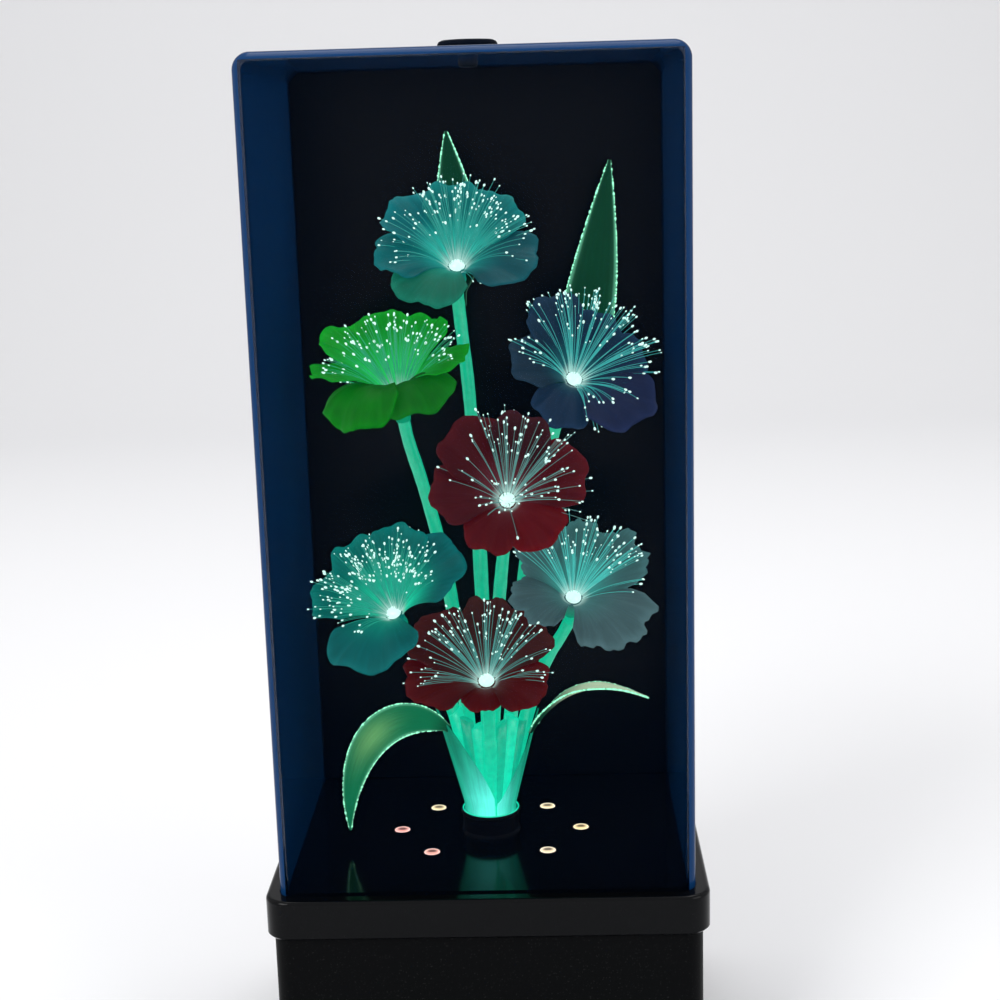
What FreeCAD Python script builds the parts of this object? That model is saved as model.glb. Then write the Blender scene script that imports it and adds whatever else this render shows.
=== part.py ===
import FreeCAD, Part
import math
import os

V = FreeCAD.Vector

# Driving dimensions, millimetres; X to the right, Y to the back, Z up from the floor
CASE_W = 150.0          # display cover, outside width
CASE_D = 118.0          # display cover, outside depth
CASE_ABOVE_DECK = 294.0
CASE_WALL = 2.5
PANEL_T = 2.0
CASE_R = 6.0            # rounding of the cover's upright and top edges
DECK_Z = 85.0           # height of the deck on which the flowers stand
LID_W = 160.0
LID_D = 128.0
LID_H = 15.0
LID_PLATE = 4.0
LID_R = 9.0
BODY_W = 155.0
BODY_D = 123.0
BODY_WALL = 2.5
BODY_R = 6.5
BODY_BOTTOM = 3.0
PLATE_T = 2.5
FOOT_H = 4.5
FOOT_R = 7.0
GROOVE_DEPTH = 2.0
GAP = 0.3               # clearance between a fixed piece and one that lifts or drops in

# Six light holes in the deck, and the collar that the bundle grows out of
HOLE_R = 2.7
HOLE_SIDE_X = 35.0
HOLE_CORNER = (22.0, 21.5)
COLLAR_R = 11.6
COLLAR_H = 8.8
TRUNK_R = 8.85
TRUNK_TOP = DECK_Z + 2.0
TRUNK_BOTTOM = 51.0
FERRULE_WALL = 0.5

# Colour wheel, its motor and the lamp under the bundle
WHEEL_X = 28.0
WHEEL_R = 40.0
WHEEL_Z = 47.0
WHEEL_T = 1.2
FILTER_T = 0.4
HUB_R = 5.0
SHAFT_R = 1.5
RUNNING_FIT = 0.06
MOTOR_X = 39.0
MOTOR_R = 18.5
MOTOR_Z0 = 20.0
MOTOR_Z1 = 38.0
MOTOR_EAR_Y = 24.0
LAMP_RIM_R = 17.5
LAMP_RIM_Z = 41.2

# Rear wall fittings: rocker switch and low-voltage inlet
SWITCH_X = -42.0
SWITCH_Z = 34.0
ROCKER_TILT = 10.0      # degrees, at rest on its lower stop
JACK_X = 42.0
JACK_Z = 30.0

# Lift knob on the cover
KNOB_R = 10.75
KNOB_H = 4.4

# Stems, petals, fibres and leaves
STEM_R = 2.8
STEM_PITCH = 5.9
PETAL_T = 0.6
PETAL_ROOT_R = 2.9
CALYX_R = 3.5
CALYX_BORE = 2.35
CALYX_LEN = 9.0
SPRAY_PLUG_R = 2.25
FIBRE_R = 0.45
FIBRE_COUNT = 22
LEAF_T = 0.7
SHEATH_R = 9.9
SHEATH_FOOT = 1.6       # height above the deck of the step that the sheaths stand on

BODY_TOP = DECK_Z - LID_PLATE
CASE_TOP = DECK_Z + CASE_ABOVE_DECK
REAR_Y = BODY_D / 2

# Each flower: throat point above the deck centre, forward tilt and sideways lean of its axis in
# degrees, the stem's place in the trunk, its way points, and its petals.
# A petal: direction round the axis, half spread, length, start and end angle from the axis.
FLOWERS = {
    "top": {
        "throat": (-6.7, 8.0, 217.7), "tilt": 38, "lean": 2, "slot": 90,
        "way": [(-1.0, 6.5, 90.0), (-3.0, 10.5, 165.0)],
        "petals": [(45, 41, 31.5, 38, 76), (95, 40, 31, 38, 64), (146, 41, 33, 38, 76),
                   (194, 38, 32, 38, 98), (242, 42, 33, 38, 110), (334, 44, 33.5, 36, 98)]},
    "upper_left": {
        "throat": (-29.1, -4.0, 171.5), "tilt": 14, "lean": -8, "slot": 150,
        "way": [(-13.0, 6.5, 98.0), (-22.0, 3.0, 138.0)],
        "petals": [(50, 42, 33, 28, 62), (98, 42, 35, 28, 54), (145, 42, 37, 28, 66), (190, 34, 34, 28, 90),
                   (238, 44, 39, 13, 168), (296, 46, 35, 12, 160), (350, 40, 32, 26, 100)]},
    "upper_right": {
        "throat": (35.4, 2.0, 175.6), "tilt": 50, "lean": 14, "slot": 30,
        "way": [(13.5, 7.5, 90.0), (21.5, 10.0, 136.0)],
        "petals": [(14, 40, 27, 35, 78), (66, 40, 26, 35, 60), (124, 42, 32, 35, 72),
                   (184, 38, 29, 35, 92), (248, 36, 28, 35, 112), (312, 44, 35, 35, 92)]},
    "centre": {
        "throat": (10.2, -18.0, 134.8), "tilt": 58, "lean": 2, "slot": None,
        "way": [(3.6, -3.0, 74.0), (7.0, -6.0, 106.0)],
        "petals": [(15, 40, 32.5, 38, 78), (75, 40, 32.5, 38, 62), (130, 41, 34, 38, 72),
                   (184, 38, 30, 38, 86), (248, 38, 25.5, 38, 92), (308, 40, 26.5, 38, 94)]},
    "lower_left": {
        "throat": (-33.4, -12.0, 91.0), "tilt": 36, "lean": -14, "slot": 210,
        "way": [(-14.0, -4.5, 59.0)],
        "petals": [(18, 44, 36, 35, 88), (72, 40, 33, 35, 68), (122, 38, 31.5, 35, 64),
                   (170, 40, 31, 35, 86), (258, 50, 35, 35, 110)]},
    "lower_right": {
        "throat": (33.6, -8.0, 94.6), "tilt": 40, "lean": 6, "slot": 330,
        "way": [(19.5, -3.5, 65.0)],
        "petals": [(27, 42, 32.5, 35, 72), (85, 40, 29, 35, 56), (143, 40, 30, 35, 72),
                   (212, 44, 28, 35, 96), (308, 46, 36, 35, 104)]},
    "front": {
        "throat": (0.9, -26.0, 68.5), "tilt": 38, "lean": 0, "slot": 270,
        "way": [(1.0, -13.0, 47.0)],
        "petals": [(38, 40, 30, 40, 76), (88, 36, 30, 40, 62), (148, 42, 32.5, 40, 82),
                   (200, 40, 32, 40, 92), (262, 44, 15.5, 40, 100), (330, 42, 25, 40, 96)]},
}

# Leaves: four control points of the blade's centre line above the deck, greatest half width,
# and the way its face looks
LEAVES = {
    "tall_left_leaf": ([(-6.6, 23.6, 202), (-4.6, 24.5, 220), (-7.6, 23.5, 242), (-10.0, 22, 268.0)], 9.0, (0, -1, 0)),
    "tall_right_leaf": ([(27.4, 18.4, 154), (41, 23, 181), (45, 24, 218), (50.9, 23, 256.2)], 10.2, (0, -1, 0)),
    "low_left_leaf": ([(-13.9, -9.9, 44.3), (-38, -14, 62), (-55, -15, 36), (-53.4, -15, 5.6)], 6.6, (0, -1, 0.2)),
    "low_right_leaf": ([(16.2, -5.6, 40.5), (28.5, -10, 62), (43, -10, 63), (62, -10, 55.3)], 6.6, (0, 0.1, 1)),
}


# Small helpers
def rounded_box(width, depth, z0, z1, radius):
    """Upright box centred on the Z axis with rounded upright edges."""
    box = Part.makeBox(width, depth, z1 - z0, V(-width / 2, -depth / 2, z0))
    upright = [e for e in box.Edges if abs(e.tangentAt(e.FirstParameter).z) > 0.9]
    return box.makeFillet(radius, upright)


def box_at(x, y, z, sx, sy, sz):
    """Box given by its centre in X and Y, its lowest Z and its sizes."""
    return Part.makeBox(sx, sy, sz, V(x - sx / 2, y - sy / 2, z))


def rod(x, y, z0, z1, radius):
    """Upright cylinder."""
    return Part.makeCylinder(radius, z1 - z0, V(x, y, z0))


def tube(x, y, z0, z1, outer, inner):
    """Upright tube."""
    return rod(x, y, z0, z1, outer).cut(rod(x, y, z0, z1, inner))


def turned(points, x=0.0, y=0.0):
    """Solid of revolution about the upright line through X, Y; points are radius and height."""
    corners = [V(x + r, y, z) for r, z in points]
    face = Part.Face(Part.makePolygon(corners + corners[:1]))
    return face.revolve(V(x, y, 0), V(0, 0, 1), 360)


def polygon_ring(x, y, z, radius, sides):
    """Regular polygon wire at one height."""
    step = 2 * math.pi / sides
    corners = [V(x + radius * math.cos(step * k), y + radius * math.sin(step * k), z) for k in range(sides)]
    return Part.makePolygon(corners + corners[:1])


def facet_turned(stations, x, y, sides):
    """Many-sided solid of revolution, a ruled loft between each two rings of radius and height."""
    tiers = []
    for (r0, z0), (r1, z1) in zip(stations, stations[1:]):
        if z1 > z0:
            rings = [polygon_ring(x, y, z0, r0, sides), polygon_ring(x, y, z1, r1, sides)]
            tiers.append(Part.makeLoft(rings, True, True))
    return tiers[0].multiFuse(tiers[1:]) if len(tiers) > 1 else tiers[0]


def cut_all(base, tools):
    """One cut with many tools."""
    return base.cut(Part.makeCompound(tools))


def corners_of(half_x, half_y):
    """The four corner positions of a rectangle."""
    return [(sx * half_x, sy * half_y) for sx in (-1, 1) for sy in (-1, 1)]


def group(solids):
    """Separate solids that share one node."""
    return Part.makeCompound(solids)


def rounded_path(points, radius):
    """Wire of straight runs joined by tangent arcs of at most the given radius."""
    edges = []
    start = points[0]
    for before, corner, after in zip(points, points[1:], points[2:]):
        to_before = (before - corner).normalize()
        to_after = (after - corner).normalize()
        turn = math.pi - to_before.getAngle(to_after)
        run = min((before - corner).Length, (after - corner).Length)
        reach = min(radius * math.tan(turn / 2), 0.45 * run)
        first = corner + to_before * reach
        last = corner + to_after * reach
        inwards = (to_before + to_after).normalize()
        bend = reach / math.tan(turn / 2)
        centre = corner + inwards * (bend / math.cos(turn / 2))
        middle = centre - inwards * bend
        edges.append(Part.LineSegment(start, first).toShape())
        edges.append(Part.Arc(first, middle, last).toShape())
        start = last
    edges.append(Part.LineSegment(start, points[-1]).toShape())
    return Part.Wire(edges)


def pipe(points, radius, bend):
    """Round rod along a path of runs and arcs."""
    path = rounded_path(points, bend)
    ring = Part.Wire(Part.makeCircle(radius, points[0], points[1] - points[0]))
    return path.makePipeShell([ring], True, False)


def thick_sheet(grid, thickness):
    """Closed solid of even thickness on a grid of points, with flat three-sided facets."""
    rows = len(grid)
    cols = len(grid[0])

    def normal(i, j):
        along = grid[min(i + 1, rows - 1)][j] - grid[max(i - 1, 0)][j]
        across = grid[i][min(j + 1, cols - 1)] - grid[i][max(j - 1, 0)]
        return along.cross(across).normalize() * (thickness / 2)

    upper = [[grid[i][j] + normal(i, j) for j in range(cols)] for i in range(rows)]
    lower = [[grid[i][j] - normal(i, j) for j in range(cols)] for i in range(rows)]
    faces = []

    def quad(a, b, c, d):
        for trio in ((a, b, c), (a, c, d)):
            faces.append(Part.Face(Part.makePolygon([*trio, trio[0]])))

    for i in range(rows - 1):
        for j in range(cols - 1):
            quad(upper[i][j], upper[i + 1][j], upper[i + 1][j + 1], upper[i][j + 1])
            quad(lower[i][j], lower[i][j + 1], lower[i + 1][j + 1], lower[i + 1][j])
    for i in range(rows - 1):
        quad(upper[i][0], lower[i][0], lower[i + 1][0], upper[i + 1][0])
        quad(upper[i + 1][-1], lower[i + 1][-1], lower[i][-1], upper[i][-1])
    for j in range(cols - 1):
        quad(upper[0][j + 1], lower[0][j + 1], lower[0][j], upper[0][j])
        quad(upper[-1][j], lower[-1][j], lower[-1][j + 1], upper[-1][j + 1])
    solid = Part.makeSolid(Part.makeShell(faces))
    if solid.Volume < 0:
        solid.reverse()
    return solid


# Base: moulded body, deck lid, bottom plate, feet and screws
BOTTOM_POSTS = corners_of(66.0, 50.0)
LID_BOSSES = corners_of(45.0, 53.5)
BOSS_BOTTOM = 61.0
TAB_T = 3.0
POST_TOP = 32.0
SCREW_R = 1.45
PILOT_R = 1.5


def base_body():
    outer = rounded_box(BODY_W, BODY_D, BODY_BOTTOM, BODY_TOP, BODY_R)
    inner = rounded_box(BODY_W - 2 * BODY_WALL, BODY_D - 2 * BODY_WALL, BODY_BOTTOM, BODY_TOP, BODY_R - BODY_WALL)
    shell = outer.cut(inner)
    added = []
    plate_top = FOOT_H + PLATE_T
    for x, y in BOTTOM_POSTS:
        side = math.copysign(1, x)
        post = rod(x, y, plate_top, POST_TOP, 4.5)
        web = box_at(x + side * 5.5, y, plate_top, 8.0, 2.0, POST_TOP - plate_top - 6)
        added.append(post.fuse(web))
    for x, y in LID_BOSSES:
        side = math.copysign(1, y)
        tab = box_at(x, y + side * 1.5, BOSS_BOTTOM - TAB_T, 13.0, 9.0, TAB_T)
        gusset = Part.makePolygon([V(x, y + side * 6, BOSS_BOTTOM - TAB_T), V(x, y + side * 6, BOSS_BOTTOM - 11),
                                   V(x, y - side * 1, BOSS_BOTTOM - TAB_T), V(x, y + side * 6, BOSS_BOTTOM - TAB_T)])
        for dx in (-6.5, 4.5):
            rib = Part.Face(gusset).extrude(V(2, 0, 0))
            rib.translate(V(dx, 0, 0))
            added.append(rib)
        added.append(tab)
    shell = shell.multiFuse(added)
    tools = [rod(x, y, plate_top, plate_top + 14, PILOT_R) for x, y in BOTTOM_POSTS]
    tools += [rod(x, y, BOSS_BOTTOM - TAB_T, BOSS_BOTTOM, 1.8) for x, y in LID_BOSSES]
    tools.append(box_at(SWITCH_X, REAR_Y - 2, SWITCH_Z - 9.6, 13.2, 8, 19.2))
    tools.append(Part.makeCylinder(4.1, 8, V(JACK_X, REAR_Y - 6, JACK_Z), V(0, 1, 0)))
    for k in range(7):
        tools.append(box_at(-15 + 5 * k, REAR_Y - 2, 26, 2.4, 8, 24))
    return cut_all(shell, tools).removeSplitter()


def deck_lid():
    outer = rounded_box(LID_W, LID_D, DECK_Z - LID_H, DECK_Z, LID_R)
    rim = [e for e in outer.Edges if abs(e.BoundBox.ZMin - DECK_Z) < 1e-6]
    outer = outer.makeFillet(1.5, rim)
    foot = [e for e in outer.Edges if abs(e.BoundBox.ZMax - (DECK_Z - LID_H)) < 1e-6]
    outer = outer.makeChamfer(1.0, foot)
    room = rounded_box(BODY_W + 2 * GAP, BODY_D + 2 * GAP, DECK_Z - LID_H, BODY_TOP, BODY_R + GAP)
    lid = outer.cut(room)
    bosses = [rod(x, y, BOSS_BOTTOM, BODY_TOP, 3.6) for x, y in LID_BOSSES]
    lid = lid.multiFuse(bosses)
    groove_z = DECK_Z - GROOVE_DEPTH
    groove = rounded_box(CASE_W + 2 * GAP, CASE_D + 2 * GAP, groove_z, DECK_Z, CASE_R + GAP)
    inside_w = CASE_W - 2 * CASE_WALL - 2 * GAP
    inside_d = CASE_D - 2 * CASE_WALL - 2 * GAP
    island = rounded_box(inside_w, inside_d, groove_z, DECK_Z, CASE_R - CASE_WALL)
    tools = [groove.cut(island), rod(0, 0, BODY_TOP, DECK_Z, TRUNK_R + FERRULE_WALL + 0.1)]
    tools += [rod(x, y, BOSS_BOTTOM, BOSS_BOTTOM + 12, PILOT_R) for x, y in LID_BOSSES]
    ring = [(-HOLE_SIDE_X, 0), (HOLE_SIDE_X, 0)] + corners_of(*HOLE_CORNER)
    for x, y in ring:
        tools.append(rod(x, y, BODY_TOP, DECK_Z, HOLE_R))
        tools.append(Part.makeCone(HOLE_R, HOLE_R + 0.6, 0.6, V(x, y, DECK_Z - 0.6)))
    return cut_all(lid, tools)


def bottom_plate():
    width = BODY_W - 2 * BODY_WALL - 2 * GAP
    depth = BODY_D - 2 * BODY_WALL - 2 * GAP
    plate = rounded_box(width, depth, FOOT_H, FOOT_H + PLATE_T, BODY_R - BODY_WALL)
    top = FOOT_H + PLATE_T
    posts = [rod(MOTOR_X, side * MOTOR_EAR_Y, top, MOTOR_Z1 - 1, 3.8) for side in (-1, 1)]
    plate = plate.multiFuse(posts)
    tools = [rod(x, y, FOOT_H, top, 1.8) for x, y in BOTTOM_POSTS]
    tools += [rod(MOTOR_X, side * MOTOR_EAR_Y, MOTOR_Z1 - 13, MOTOR_Z1 - 1, PILOT_R) for side in (-1, 1)]
    for k in range(6):
        for side in (-1, 1):
            tools.append(box_at(-42 + 5.5 * k, side * 34, FOOT_H, 2.6, 20, PLATE_T))
    return cut_all(plate, tools)


def rubber_foot(x, y):
    return turned([(0, 0.6), (3.5, 0.6), (4.5, 0), (FOOT_R - 1.2, 0), (FOOT_R, FOOT_H), (0, FOOT_H)], x, y)


def screw_up(x, y, z, length, head_r=3.1, head_h=2.2):
    """Pan-head screw driven upwards, its head under Z."""
    profile = [(0, z - head_h), (head_r - 0.8, z - head_h), (head_r, z - head_h + 0.9), (head_r, z),
               (SCREW_R, z), (SCREW_R, z + length - 1.2), (0, z + length)]
    return turned(profile, x, y)


# Bundle: collar, ferrule and the packed fibres under the stems
def bundle_collar():
    """Plain ring on the deck; the leaf sheaths stand on the step inside it."""
    inner = TRUNK_R + FERRULE_WALL + 0.15
    step = SHEATH_R + LEAF_T / 2 + 0.05
    base = DECK_Z
    top = DECK_Z + COLLAR_H
    profile = [(inner, base), (COLLAR_R - 0.1, base), (COLLAR_R - 0.6, base + 1.2), (COLLAR_R - 0.6, top - 1.6),
               (COLLAR_R, top - 0.9), (COLLAR_R - 0.3, top), (step, top), (step, base + SHEATH_FOOT),
               (inner, base + SHEATH_FOOT)]
    return turned(profile)


def bundle_ferrule():
    return tube(0, 0, TRUNK_BOTTOM - 1.0, DECK_Z + 1.5, TRUNK_R + FERRULE_WALL, TRUNK_R)


def fibre_trunk():
    return rod(0, 0, TRUNK_BOTTOM, TRUNK_TOP, TRUNK_R)


# Flowers
def above_deck(point):
    return V(point[0], point[1], point[2] + DECK_Z)


def flower_axes(flower):
    """Axis of a flower and the two directions across it, right and back."""
    tilt = math.radians(flower["tilt"])
    lean = math.radians(flower["lean"])
    axis = V(math.sin(lean), -math.cos(lean) * math.sin(tilt), math.cos(lean) * math.cos(tilt)).normalize()
    right = (V(1, 0, 0) - axis * axis.x).normalize()
    return axis, right, axis.cross(right)


def stem(flower):
    """Round stem from the trunk to the flower's calyx, with wide bends at its way points."""
    throat = above_deck(flower["throat"])
    axis, right, back = flower_axes(flower)
    foot = V(0, 0, TRUNK_TOP)
    if flower["slot"] is not None:
        turn = math.radians(flower["slot"])
        foot = V(STEM_PITCH * math.cos(turn), STEM_PITCH * math.sin(turn), TRUNK_TOP)
    points = [foot, foot + V(0, 0, 9)]
    points += [above_deck(p) for p in flower["way"]]
    points += [throat - axis * (CALYX_LEN + 9), throat - axis * CALYX_LEN]
    return pipe(points, STEM_R, 60.0)


def petal_reach(petals, index):
    """Half spreads to each side of a petal, ending short of its neighbours."""
    middle, spread = petals[index][:2]
    before = (middle - petals[index - 1][0]) % 360
    after = (petals[(index + 1) % len(petals)][0] - middle) % 360
    return min(spread, before / 2 - 1.5), min(spread, after / 2 - 1.5)


def petal(flower, index):
    """Petal: an arc of a trumpet that bends away from the axis, with a rounded outer edge."""
    throat = above_deck(flower["throat"])
    axis, right, back = flower_axes(flower)
    middle, spread, length, start, end = flower["petals"][index]
    low, high = petal_reach(flower["petals"], index)
    start, end = math.radians(start), math.radians(end)
    grid = []
    for i in range(5):
        row = []
        for j in range(7):
            across = j / 3 - 1
            along = i / 4 * (1 - 0.30 * abs(across) ** 3)
            bend = start + (end - start) * along
            radius = PETAL_ROOT_R + length * (math.cos(start) - math.cos(bend)) / (end - start)
            rise = length * (math.sin(bend) - math.sin(start)) / (end - start)
            side = low if across < 0 else high
            turn = math.radians(middle + side * across * (0.88 + 0.12 * along))
            out = right * math.cos(turn) + back * math.sin(turn)
            row.append(throat + out * radius + axis * rise)
        grid.append(row)
    return thick_sheet(grid, PETAL_T)


def corolla(flower):
    """Calyx tube with its ring of petals."""
    throat = above_deck(flower["throat"])
    axis = flower_axes(flower)[0]
    calyx = Part.makeCone(STEM_R + 0.2, CALYX_R, CALYX_LEN + 1.2, throat - axis * CALYX_LEN, axis)
    bore = Part.makeCylinder(CALYX_BORE, CALYX_LEN + 2, throat - axis * (CALYX_LEN + 0.4), axis)
    petals = [petal(flower, k) for k in range(len(flower["petals"]))]
    return calyx.multiFuse(petals).cut(bore)


def fibre_limit(flower, turn):
    """Widest angle from the axis that a fibre may take over the petal nearest to it."""
    def apart(row):
        return abs((row[0] - turn + 180) % 360 - 180)
    nearest = min(flower["petals"], key=apart)
    return min(62.0, nearest[3] + 24.0, (nearest[3] + nearest[4]) / 2 - 11.0)


def spray(flower):
    """Brush of three-sided fibres fanning out of the calyx, spaced by the golden angle."""
    throat = above_deck(flower["throat"])
    axis, right, back = flower_axes(flower)
    top = throat + axis * 1.6
    parts = [Part.makeCylinder(SPRAY_PLUG_R, CALYX_LEN + 1.6, throat - axis * CALYX_LEN, axis)]
    for k in range(FIBRE_COUNT):
        share = math.sqrt((k + 0.5) / FIBRE_COUNT)
        turn = 137.508 * k + flower["tilt"]
        out = right * math.cos(math.radians(turn)) + back * math.sin(math.radians(turn))
        lean = share * fibre_limit(flower, turn)
        length = 27.5 + 2.0 * math.sin(2.4 * k)
        rings = []
        for along in (-0.03, 0.45, 1.0):
            angle = math.radians(lean * (0.7 + 0.3 * along))
            centre = top + out * (1.7 * share) + (axis * math.cos(angle) + out * math.sin(angle)) * (length * along)
            thick = FIBRE_R * (1.0 - 0.15 * along)
            corners = []
            side = axis.cross(out)
            for turn3 in (90, 210, 330):
                c, s = math.cos(math.radians(turn3)), math.sin(math.radians(turn3))
                across = out * math.cos(angle) - axis * math.sin(angle)
                corners.append(centre + (side * c + across * s) * thick)
            rings.append(Part.makePolygon(corners + corners[:1]))
        parts.append(Part.makeLoft(rings, True, True))
    return parts[0].multiFuse(parts[1:])


# Leaves
def bezier(points, s):
    a, b, c, d = points
    r = 1 - s
    return a * r ** 3 + b * (3 * r * r * s) + c * (3 * r * s * s) + d * s ** 3


def blade(control, half_width, facing, stalk=0.01, rows=11):
    """Pointed strip along a curve, a little folded down its middle; stalk is the share that stays slim."""
    points = [above_deck(p) for p in control]
    look = V(*facing).normalize()
    grid = []
    for i in range(rows):
        s = 0.01 + 0.98 * i / (rows - 1)
        centre = bezier(points, s)
        ahead = bezier(points, s + 0.01) - bezier(points, s - 0.01)
        across = ahead.cross(look).normalize()
        fold = across.cross(ahead).normalize()
        swell = math.sin(math.pi * s ** 0.75) * min(1.0, s / stalk)
        width = half_width * max(swell, 0.04 + 0.16 * (1 - s)) ** 0.9
        grid.append([centre + across * (width * t) + fold * (0.22 * width * abs(t)) for t in (-1, -0.5, 0, 0.5, 1)])
    return thick_sheet(grid, LEAF_T)


def sheath(first, last, top_left, top_right, shift):
    """Part of a flared collar of leaf round the stems, its top edge slanting from side to side."""
    grid = []
    for i in range(6):
        row = []
        for j in range(9):
            share = j / 8
            turn = math.radians(first + (last - first) * share)
            top = top_left + (top_right - top_left) * share ** 1.5
            z = SHEATH_FOOT + (top - SHEATH_FOOT) * i / 5
            flare = max(0.0, z - COLLAR_H - 2.8)
            radius = SHEATH_R + 0.2 * flare
            x = radius * math.cos(turn) + shift * flare
            row.append(above_deck((x, radius * math.sin(turn), z)))
        grid.append(row)
    return thick_sheet(grid, LEAF_T)


def low_leaf(name):
    control, half_width, facing = LEAVES[name]
    strip = blade(control, half_width, facing)
    if name == "low_left_leaf":
        wrap = sheath(190, 282, 53, 16, -0.06)
    else:
        wrap = sheath(286, 350, 14, 50, 0.06)
    return wrap.fuse(strip)


# Cover with its back panel and lift knob
def cover():
    bottom = DECK_Z - GROOVE_DEPTH
    outer = rounded_box(CASE_W, CASE_D, bottom, CASE_TOP, CASE_R)
    rim = [e for e in outer.Edges if abs(e.BoundBox.ZMin - CASE_TOP) < 1e-6]
    outer = outer.makeFillet(CASE_R - 0.01, rim)
    inside = CASE_R - CASE_WALL
    inner_w, inner_d = CASE_W - 2 * CASE_WALL, CASE_D - 2 * CASE_WALL
    inner = rounded_box(inner_w, inner_d, bottom, CASE_TOP - CASE_WALL, inside)
    rim = [e for e in inner.Edges if abs(e.BoundBox.ZMin - (CASE_TOP - CASE_WALL)) < 1e-6]
    inner = inner.makeFillet(inside - 0.01, rim)
    return cut_all(outer, [inner, rod(0, 0, CASE_TOP - 5, CASE_TOP + 1, 2.1)])


def back_panel():
    """Panel that fills the cover's rear wall, its edges slanted to clear the rounded inside corners."""
    rear = CASE_D / 2 - CASE_WALL
    front = rear - PANEL_T
    bottom = DECK_Z + GAP
    slant = CASE_R - CASE_WALL
    half = CASE_W / 2 - CASE_WALL - 0.4
    top = CASE_TOP - CASE_WALL - 0.4
    outlines = []
    for y, inset in ((front, 0.0), (rear, slant)):
        right, upper = half - inset, top - inset
        corners = [V(-right, y, bottom), V(right, y, bottom), V(right, y, upper - slant), V(right - slant, y, upper),
                   V(slant - right, y, upper), V(-right, y, upper - slant)]
        outlines.append(Part.makePolygon(corners + corners[:1]))
    return Part.makeLoft(outlines, True, True)


def lift_knob():
    z = CASE_TOP
    profile = [(0, z), (KNOB_R - 0.8, z), (KNOB_R, z + 0.8), (KNOB_R, z + KNOB_H - 1.4),
               (KNOB_R - 0.5, z + KNOB_H - 0.5), (KNOB_R - 1.6, z + KNOB_H), (0, z + KNOB_H)]
    return turned(profile).cut(rod(0, 0, z, z + KNOB_H - 1.4, 2.0))


def knob_screw():
    z = CASE_TOP - CASE_WALL
    profile = [(0, z - 2.4), (2.8, z - 2.4), (3.6, z - 1.6), (3.6, z), (1.95, z), (1.95, z + 5.2), (0, z + 5.2)]
    return turned(profile)


# Lamp: bracket, socket, capsule and faceted reflector
def lamp_bracket():
    floor = FOOT_H + PLATE_T
    sheet = 1.2
    ring = tube(0, 0, LAMP_RIM_Z - sheet, LAMP_RIM_Z, 21.4, 15.8)
    base = box_at(0, 0, floor, 14, 2 * 21.4, sheet)
    uprights = [box_at(0, side * (21.4 - sheet / 2), floor, 14, sheet, LAMP_RIM_Z - floor) for side in (-1, 1)]
    keep = box_at(0, 0, floor - 1, 33, 60, 60)
    bracket = ring.multiFuse([base] + uprights).common(keep)
    return cut_all(bracket, [rod(0, side * 15, floor, floor + sheet, 1.7) for side in (-1, 1)])


def lamp_socket():
    z = FOOT_H + PLATE_T + 1.2
    block = box_at(0, 0, z, 16, 11, 9.5)
    upright = [e for e in block.Edges if abs(e.tangentAt(e.FirstParameter).z) > 0.9]
    block = block.makeChamfer(1.5, upright)
    return cut_all(block, [rod(side * 2.65, 0, z + 3, z + 9.5, 0.7) for side in (-1, 1)])


def bulb():
    z = FOOT_H + PLATE_T + 1.2 + 9.5
    parts = [rod(side * 2.65, 0, z - 5.5, z + 1, 0.5) for side in (-1, 1)]
    parts.append(facet_turned([(4.6, z), (4.6, z + 7.5)], 0, 0, 16))
    parts.append(facet_turned([(3.2, z + 7.5), (4.4, z + 9.5), (4.4, z + 16), (1.2, z + 19)], 0, 0, 16))
    return parts[0].multiFuse(parts[1:])


def reflector():
    z = FOOT_H + PLATE_T + 1.2 + 9.5
    rim = LAMP_RIM_Z
    outer = facet_turned([(6.4, z), (6.4, z + 7), (12.5, z + 14), (15.7, rim), (LAMP_RIM_R, rim),
                          (LAMP_RIM_R, rim + 2.4)], 0, 0, 24)
    inner = facet_turned([(4.8, z), (4.8, z + 8), (11.2, z + 14.5), (14.4, rim), (16.4, rim + 2.4)], 0, 0, 24)
    return outer.cut(inner)


# Colour wheel and its motor
WINDOW_IN = 9.0
WINDOW_OUT = 36.5
SPOKE = 2.4


def wheel_frame():
    disc = rod(WHEEL_X, 0, WHEEL_Z, WHEEL_Z + WHEEL_T, WHEEL_R)
    windows = tube(WHEEL_X, 0, WHEEL_Z, WHEEL_Z + WHEEL_T, WINDOW_OUT, WINDOW_IN)
    spokes = [box_at(WHEEL_X, 0, WHEEL_Z, 2 * WHEEL_R, SPOKE, WHEEL_T),
              box_at(WHEEL_X, 0, WHEEL_Z, SPOKE, 2 * WHEEL_R, WHEEL_T)]
    disc = disc.cut(cut_all(windows, spokes))
    return disc.cut(rod(WHEEL_X, 0, WHEEL_Z, WHEEL_Z + WHEEL_T, HUB_R - 1.5))


def wheel_filter(quarter):
    """Coloured sheet glued over one of the four windows."""
    z = WHEEL_Z + WHEEL_T
    ring = tube(WHEEL_X, 0, z, z + FILTER_T, WINDOW_OUT + 1.8, WINDOW_IN - 1.8)
    first = math.radians(90 * quarter + 1.0)
    last = math.radians(90 * quarter + 89.0)
    far = 2 * WHEEL_R
    centre = V(WHEEL_X, 0, z)
    corners = [centre, centre + V(far * math.cos(first), far * math.sin(first), 0),
               centre + V(far * math.cos(last), far * math.sin(last), 0), centre]
    wedge = Part.Face(Part.makePolygon(corners)).extrude(V(0, 0, FILTER_T))
    return ring.common(wedge)


def wheel_hub():
    z = WHEEL_Z
    profile = [(SHAFT_R, z - 2.6), (HUB_R, z - 2.6), (HUB_R, z), (HUB_R - 1.5, z), (HUB_R - 1.5, z + 4.4),
               (SHAFT_R, z + 4.4)]
    return turned(profile, WHEEL_X)


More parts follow.
